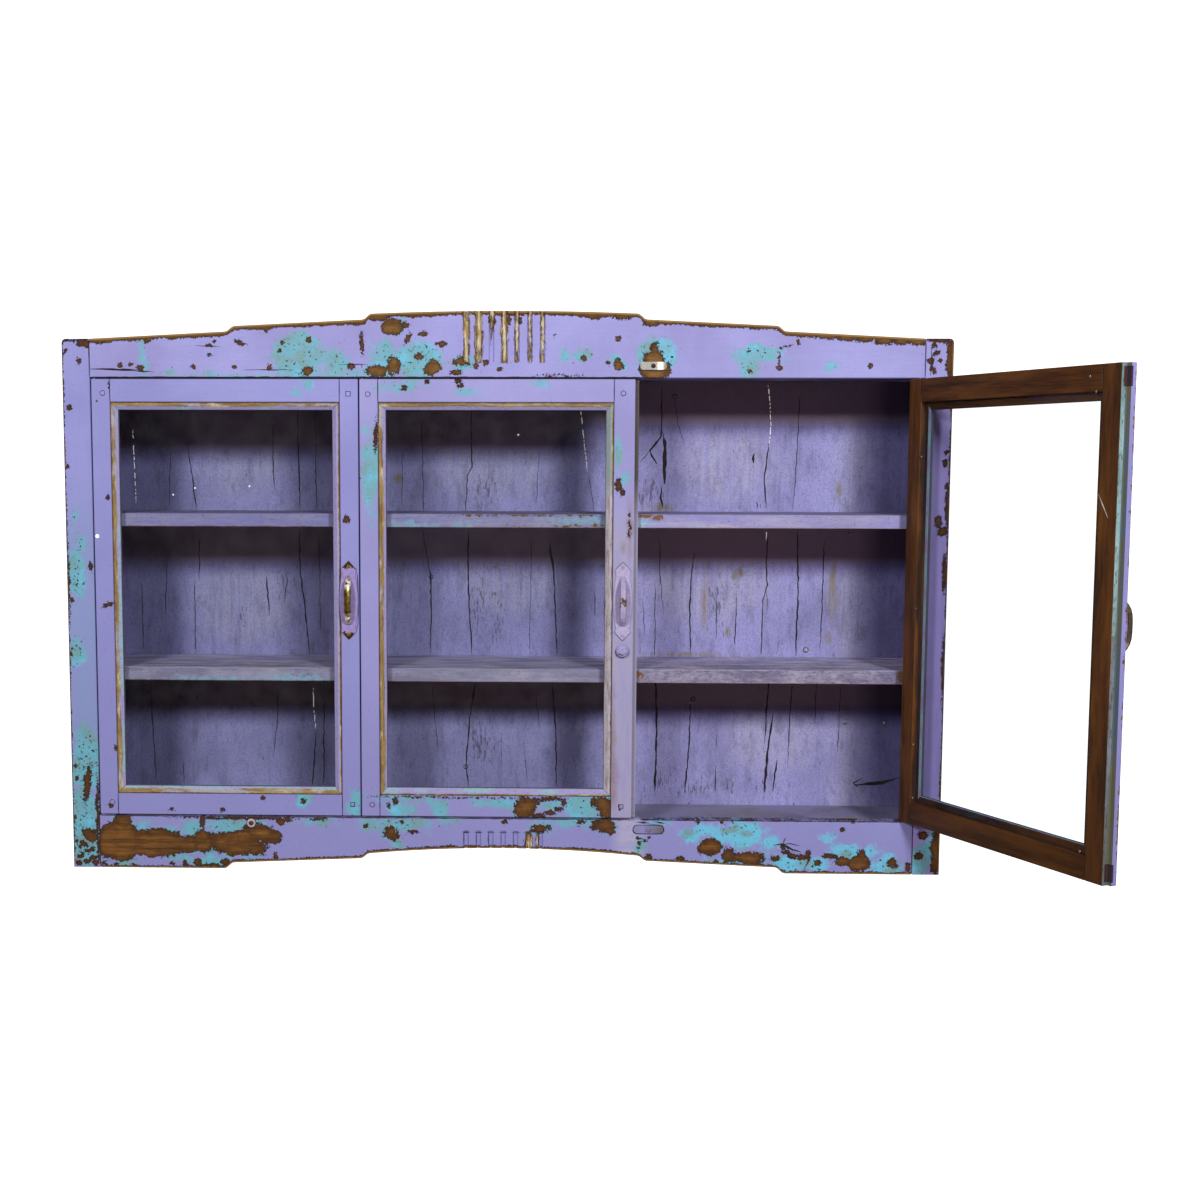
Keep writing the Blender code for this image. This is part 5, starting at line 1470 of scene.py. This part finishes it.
def dress_hardware(steel):
    dress(["left_door_pull"], worn_brass("left_pull_brass"))
    dress(["middle_door_pull"], worn_brass("middle_pull_paint", painted_over=True))
    dress(["right_door_pull"], worn_brass("right_pull_brass", turned=True, dull=0.8))
    knob = painted("knob_paint", "z", raw=None, chip_share=0.3, reveal=None, colours=HANDLED_COLOURS)
    dress(["middle_door_knob"], knob)
    dress(["turn_button"], button_paint("button_paint", BUTTON_COLOURS))
    dress(["turn_button_screw"], button_paint("button_screw_paint", SCREW_COLOURS))
    dress(["top_keep"], keep_metal("keep_metal"))
    dress([name for name in NODES if name.endswith("_pin")], steel)


# Pieces that the scene adds
def add_cracks(dark):
    """Cracks and light leaks in the back, the leaks painted as glowing daylight, and cracks in the face
    frame.
    """
    day = crack_fill("crack_daylight", DAYLIGHT, LEAK_GLOW)
    back = crack_mesh("back_cracks", (*BACK_CRACKS, LEAK_CRACK), ON_BACK)
    add_piece(back, "cabinet", dark)
    add_piece(crack_mesh("light_leaks", LIGHT_LEAKS, ON_BACK, 0.36, 0.4, 2.6), "cabinet", day)
    add_piece(crack_mesh("front_cracks", FRONT_CRACKS, ON_FRONT), "cabinet", dark)


def pull_middle(side):
    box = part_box(f"{side}_door_pull")
    return (box[0].x + box[1].x) / 2 / MM


def add_lines(dark):
    """Dirty lines along joints and around the hardware, painted shade on and below the knob, below the turn
    button and in the base flutes, and one pale scratch.
    """
    brown = crack_fill("joint_dirt", JOINT_DIRT)
    pale = crack_fill("scratch_pale", WHITE)
    left_pull = shifted(PULL_CHEVRONS + PULL_SIDES, pull_middle("left"))
    middle_pull = shifted(PULL_CHEVRONS, pull_middle("middle"))
    knob_marks_and_shade = shifted(KNOB_MARKS_AND_SHADE, *KNOB_CENTRE)
    rows = [
        ("frame_joints", FRAME_JOINTS, ON_FRONT, "cabinet", brown, 0.2),
        ("opening_line", OPENING_LINE, ON_FRONT, "cabinet", dark, 0.1),
        ("base_flute_lines", FLUTE_DIRT_AND_SHADE, ON_FRONT, "cabinet", brown, 0.3),
        ("turn_button_lines", (button_outline(),), UNDER_BUTTON, "turn_button", dark, 0.15),
        ("left_door_joints", door_joints("left"), ON_FRONT, "left_door", brown, 0.15),
        ("middle_door_joints", door_joints("middle"), ON_FRONT, "middle_door", brown, 0.15),
        ("right_door_joints", door_joints("right"), ON_FRONT, "right_door", brown, 0.15),
        ("right_door_inner_joints", door_joints("right"), ON_DOOR_BACK, "right_door", dark, 0.15),
        ("right_door_scratch", (DOOR_SCRATCH,), ON_DOOR_BACK, "right_door", pale, 0.2),
        ("left_pull_lines", left_pull, ON_FRONT, "left_door", brown, 0.2),
        ("middle_pull_lines", middle_pull, ON_FRONT, "middle_door", brown, 0.2),
        ("middle_knob_shade", (KNOB_SHADE,), ON_FRONT, "middle_door", dark, 0.3),
    ]
    for name, runs, place, body, material, crook in rows:
        add_piece(crack_mesh(name, runs, place, 0.0, crook), body, material)
    marks = crack_mesh("middle_knob_marks", knob_marks_and_shade, on_knob, 0.0, 0.3, 1.5)
    add_piece(marks, "middle_door", dark)


def add_board_fill(back_paint):
    """Old paint that bridges the gaps between the back boards."""
    bm = bmesh.new()
    low = OPENING_BOTTOM - FILL_BELOW
    high = OPENING_TOP + FILL_ABOVE
    for number in range(1, BACK_BOARDS):
        middle = (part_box(f"back_board_{number}")[1].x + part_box(f"back_board_{number + 1}")[0].x) / 2
        pairs = []
        for i in range(FILL_ROWS + 1):
            z = low + (high - low) * i / FILL_ROWS
            edges = (middle - FILL_HALF_WIDTH, middle + FILL_HALF_WIDTH)
            pairs.append([bm.verts.new((x, BACK_FACE - FILL_LIFT, z)) for x in edges])
        for first, second in zip(pairs, pairs[1:]):
            bm.faces.new((first[0], first[1], second[1], second[0]))
    add_piece(mesh_of("board_joint_fill", bm), "cabinet", back_paint)


def add_pegs():
    """Ends of the joint pegs, each with a dirty ring around it."""
    pegs = painted("peg_paint", "z", raw=None, chip_share=0.0, reveal=None)
    dark = crack_fill("peg_line", JOINT_DIRT)
    at_front = on_plane(FRONT)
    for side, (places, square) in DOOR_PEGS.items():
        mesh = peg_mesh(f"{side}_door_pegs", [at_front(*place) for place in places], square)
        radii = [SQUARE_RING if number in square else ROUND_RING for number in range(len(places))]
        rings = [(*place, radius) for place, radius in zip(places, radii)]
        lines = ring_mesh(f"{side}_door_peg_lines", rings, ON_FRONT, PEG_LINE, square)
        add_piece(mesh, f"{side}_door", pegs)
        add_piece(lines, f"{side}_door", dark)


def add_back_nails(steel, pale, dark):
    at_back = on_plane(BACK_FACE)
    nails = stud_mesh("back_nails", [at_back(*place) for place in BACK_NAILS], NAIL_SIZE)
    add_piece(nails, "cabinet", steel)
    # Painted glints: tiny heads that glow white
    glints = stud_mesh("back_glints", [at_back(*place) for place in BACK_GLINTS], GLINT_SIZE)
    add_piece(glints, "cabinet", pale)
    add_piece(ring_mesh("back_knots", BACK_KNOTS, ON_BACK, KNOT_WIDTH), "cabinet", dark)


def add_front_fasteners(pale, dark):
    """Screw of the keep, painted washer with its rusty bolt, and a drip of paint that glows white as a
    painted glint.
    """
    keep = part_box("top_keep")
    place = ((keep[0].x + keep[1].x) / 2, keep[0].y, (keep[0].z + keep[1].z) / 2)
    screw = stud_mesh("keep_screw", [place], KEEP_SCREW_SIZE, 20, 0.6)
    add_piece(screw, "cabinet", old_metal("keep_screw_metal", KEEP_DARK, RUST))
    washer = stud_mesh("base_washer", [ON_FRONT(*BASE_WASHER)], WASHER_SIZE, 24)
    add_piece(washer, "cabinet", crack_fill("washer_paint", WASHER_PALE))
    on_washer = on_plane(FRONT - WASHER_SIZE[1])
    bolt = stud_mesh("base_washer_bolt", [on_washer(*BASE_WASHER)], BOLT_SIZE, 18, 0.5)
    add_piece(bolt, "cabinet", old_metal("washer_rust", RUST, BARE_DARK, 0.2))
    hole = ring_mesh("base_washer_lines", [(*BASE_WASHER, WASHER_RING)], ON_FRONT, WASHER_LINE)
    add_piece(hole, "cabinet", dark)
    drip = stud_mesh("paint_drip", [ON_FRONT(*PAINT_DRIP)], DRIP_SIZE)
    add_piece(drip, "left_door", pale)


def add_door_fasteners(steel):
    """Screws of the pulls, and brads that hold the beads of the open door."""
    brass = old_metal("pull_screw_brass", BRASS, BRASS_DARK)
    covered = crack_fill("screw_paint", LILAC_DUSTY)
    for side in SIDES:
        box = shut_box(f"{side}_door_pull")
        x = (box[0].x + box[1].x) / 2
        places = [(x, FRONT - PLATE_THICKNESS, z) for z in (-PULL_SCREW_REACH, PULL_SCREW_REACH)]
        screws = stud_mesh(f"{side}_pull_screws", places, PULL_SCREW_SIZE, 20, 0.4)
        add_piece(screws, f"{side}_door", covered if side == "middle" else brass)
    at_door_back = on_plane(DOOR_BACK)
    brads = stud_mesh("right_door_brads", [at_door_back(*place) for place in DOOR_BRADS], BRAD_SIZE)
    add_piece(turned_round(brads, DOOR_BACK), "right_door", steel)


# Camera, light and floor
def add_camera():
    fall = Matrix.Rotation(CAMERA_PITCH, 4, "X")
    upright = Matrix.Rotation(math.pi / 2, 4, "X")
    heading = Matrix.Rotation(-CAMERA_YAW, 4, "Z")
    roll = Matrix.Rotation(-CAMERA_ROLL, 4, "Z")
    data = bpy.data.cameras.new("photo_camera")
    data.sensor_width = SENSOR_WIDTH
    data.lens = SENSOR_WIDTH * FOCAL_PIXELS / IMAGE_SIZE
    data.shift_x = (IMAGE_SIZE / 2 - IMAGE_CENTRE[0]) / IMAGE_SIZE
    data.shift_y = (IMAGE_CENTRE[1] - IMAGE_SIZE / 2) / IMAGE_SIZE
    camera = bpy.data.objects.new("photo_camera", data)
    camera.matrix_world = Matrix.Translation(CAMERA_PLACE) @ heading @ fall @ upright @ roll
    bpy.context.scene.collection.objects.link(camera)
    bpy.context.scene.camera = camera


def add_lights():
    middle = Vector((0, FRONT, 0))
    flat = LIGHT_DISTANCE * math.cos(LIGHT_HEIGHT_ANGLE)
    rise = LIGHT_DISTANCE * math.sin(LIGHT_HEIGHT_ANGLE)
    for angle, power in zip(LIGHT_SIDE_ANGLES, LIGHT_POWER):
        way = Vector((flat * math.sin(angle), -flat * math.cos(angle), rise))
        data = bpy.data.lights.new("studio_lamp", "AREA")
        data.shape = "DISK"
        data.size = LIGHT_SIZE
        data.energy = power
        lamp = bpy.data.objects.new("studio_lamp", data)
        lamp.location = middle + way
        lamp.rotation_euler = (-way).to_track_quat("-Z", "Y").to_euler()
        bpy.context.scene.collection.objects.link(lamp)


def add_world():
    """White behind the object, and a weaker soft light from all round."""
    world = bpy.data.worlds.new("studio")
    world.use_nodes = True
    tree = world.node_tree
    tree.nodes.clear()
    seen = tree.nodes.new("ShaderNodeBackground")
    felt = tree.nodes.new("ShaderNodeBackground")
    seen.inputs["Color"].default_value = BACKDROP
    seen.inputs["Strength"].default_value = BACKDROP_STRENGTH
    felt.inputs["Color"].default_value = AMBIENT
    path = tree.nodes.new("ShaderNodeLightPath")
    pick = tree.nodes.new("ShaderNodeMixShader")
    output = tree.nodes.new("ShaderNodeOutputWorld")
    tree.links.new(path.outputs["Is Camera Ray"], pick.inputs[0])
    tree.links.new(felt.outputs[0], pick.inputs[1])
    tree.links.new(seen.outputs[0], pick.inputs[2])
    tree.links.new(pick.outputs[0], output.inputs["Surface"])
    bpy.context.scene.world = world
    bpy.context.scene.view_settings.view_transform = "Standard"


def add_floor():
    bm = bmesh.new()
    bmesh.ops.create_circle(bm, cap_ends=True, segments=FLOOR_SEGMENTS, radius=FLOOR_RADIUS)
    mesh = mesh_of("studio_floor", bm)
    shader = Shader("studio_floor")
    mesh.materials.append(shader.finish(shader.mix(shader.noise(300), *STUDIO_PALE), 0.7))
    floor = bpy.data.objects.new("studio_floor", mesh)
    floor.location = (0, FLOOR_CENTRE_Y, FLOOR_HEIGHT)
    bpy.context.scene.collection.objects.link(floor)


def build():
    add_camera()
    add_world()
    add_lights()
    add_floor()
    pane = glass("window_glass")
    # Paint of the back boards, with painted shade in the bays and beside the stiles and doors, and a painted
    # strip of light
    back_paint = inner_paint("back_paint", BACK_STAINS, BACK_RUBBED_AND_LIT, BACK_SHADED, BACK_SPECKS, bay_shade=BAY_SHADOWS)
    steel = old_metal("steel", STEEL, RUST)
    # White glow for the painted glints on the back and on the drip of paint
    pale = crack_fill("nail_glint", WHITE, LEAK_GLOW)
    dark = crack_fill("crack_dark", CRACK)
    dress_frame()
    dress_carcass(back_paint)
    dress_door("left", LEFT_DOOR_BARE, LEFT_DOOR_BLUE, pane)
    dress_door("middle", MIDDLE_DOOR_BARE, MIDDLE_DOOR_BLUE, pane)
    dress_door("right", (), (), pane)
    dress(["middle_door_meeting_stile"], back_lip_stile("middle_meeting_paint"))
    dress([RIGHT_MEETING], right_edge_stile("right_meeting_paint"))
    dress(["right_door_hinge_stile"], right_hinge_stile("right_hinge_paint"))
    dress_hardware(steel)
    add_board_fill(back_paint)
    add_cracks(dark)
    add_lines(dark)
    add_pegs()
    add_back_nails(steel, pale, dark)
    add_front_fasteners(pale, dark)
    add_door_fasteners(steel)


build()
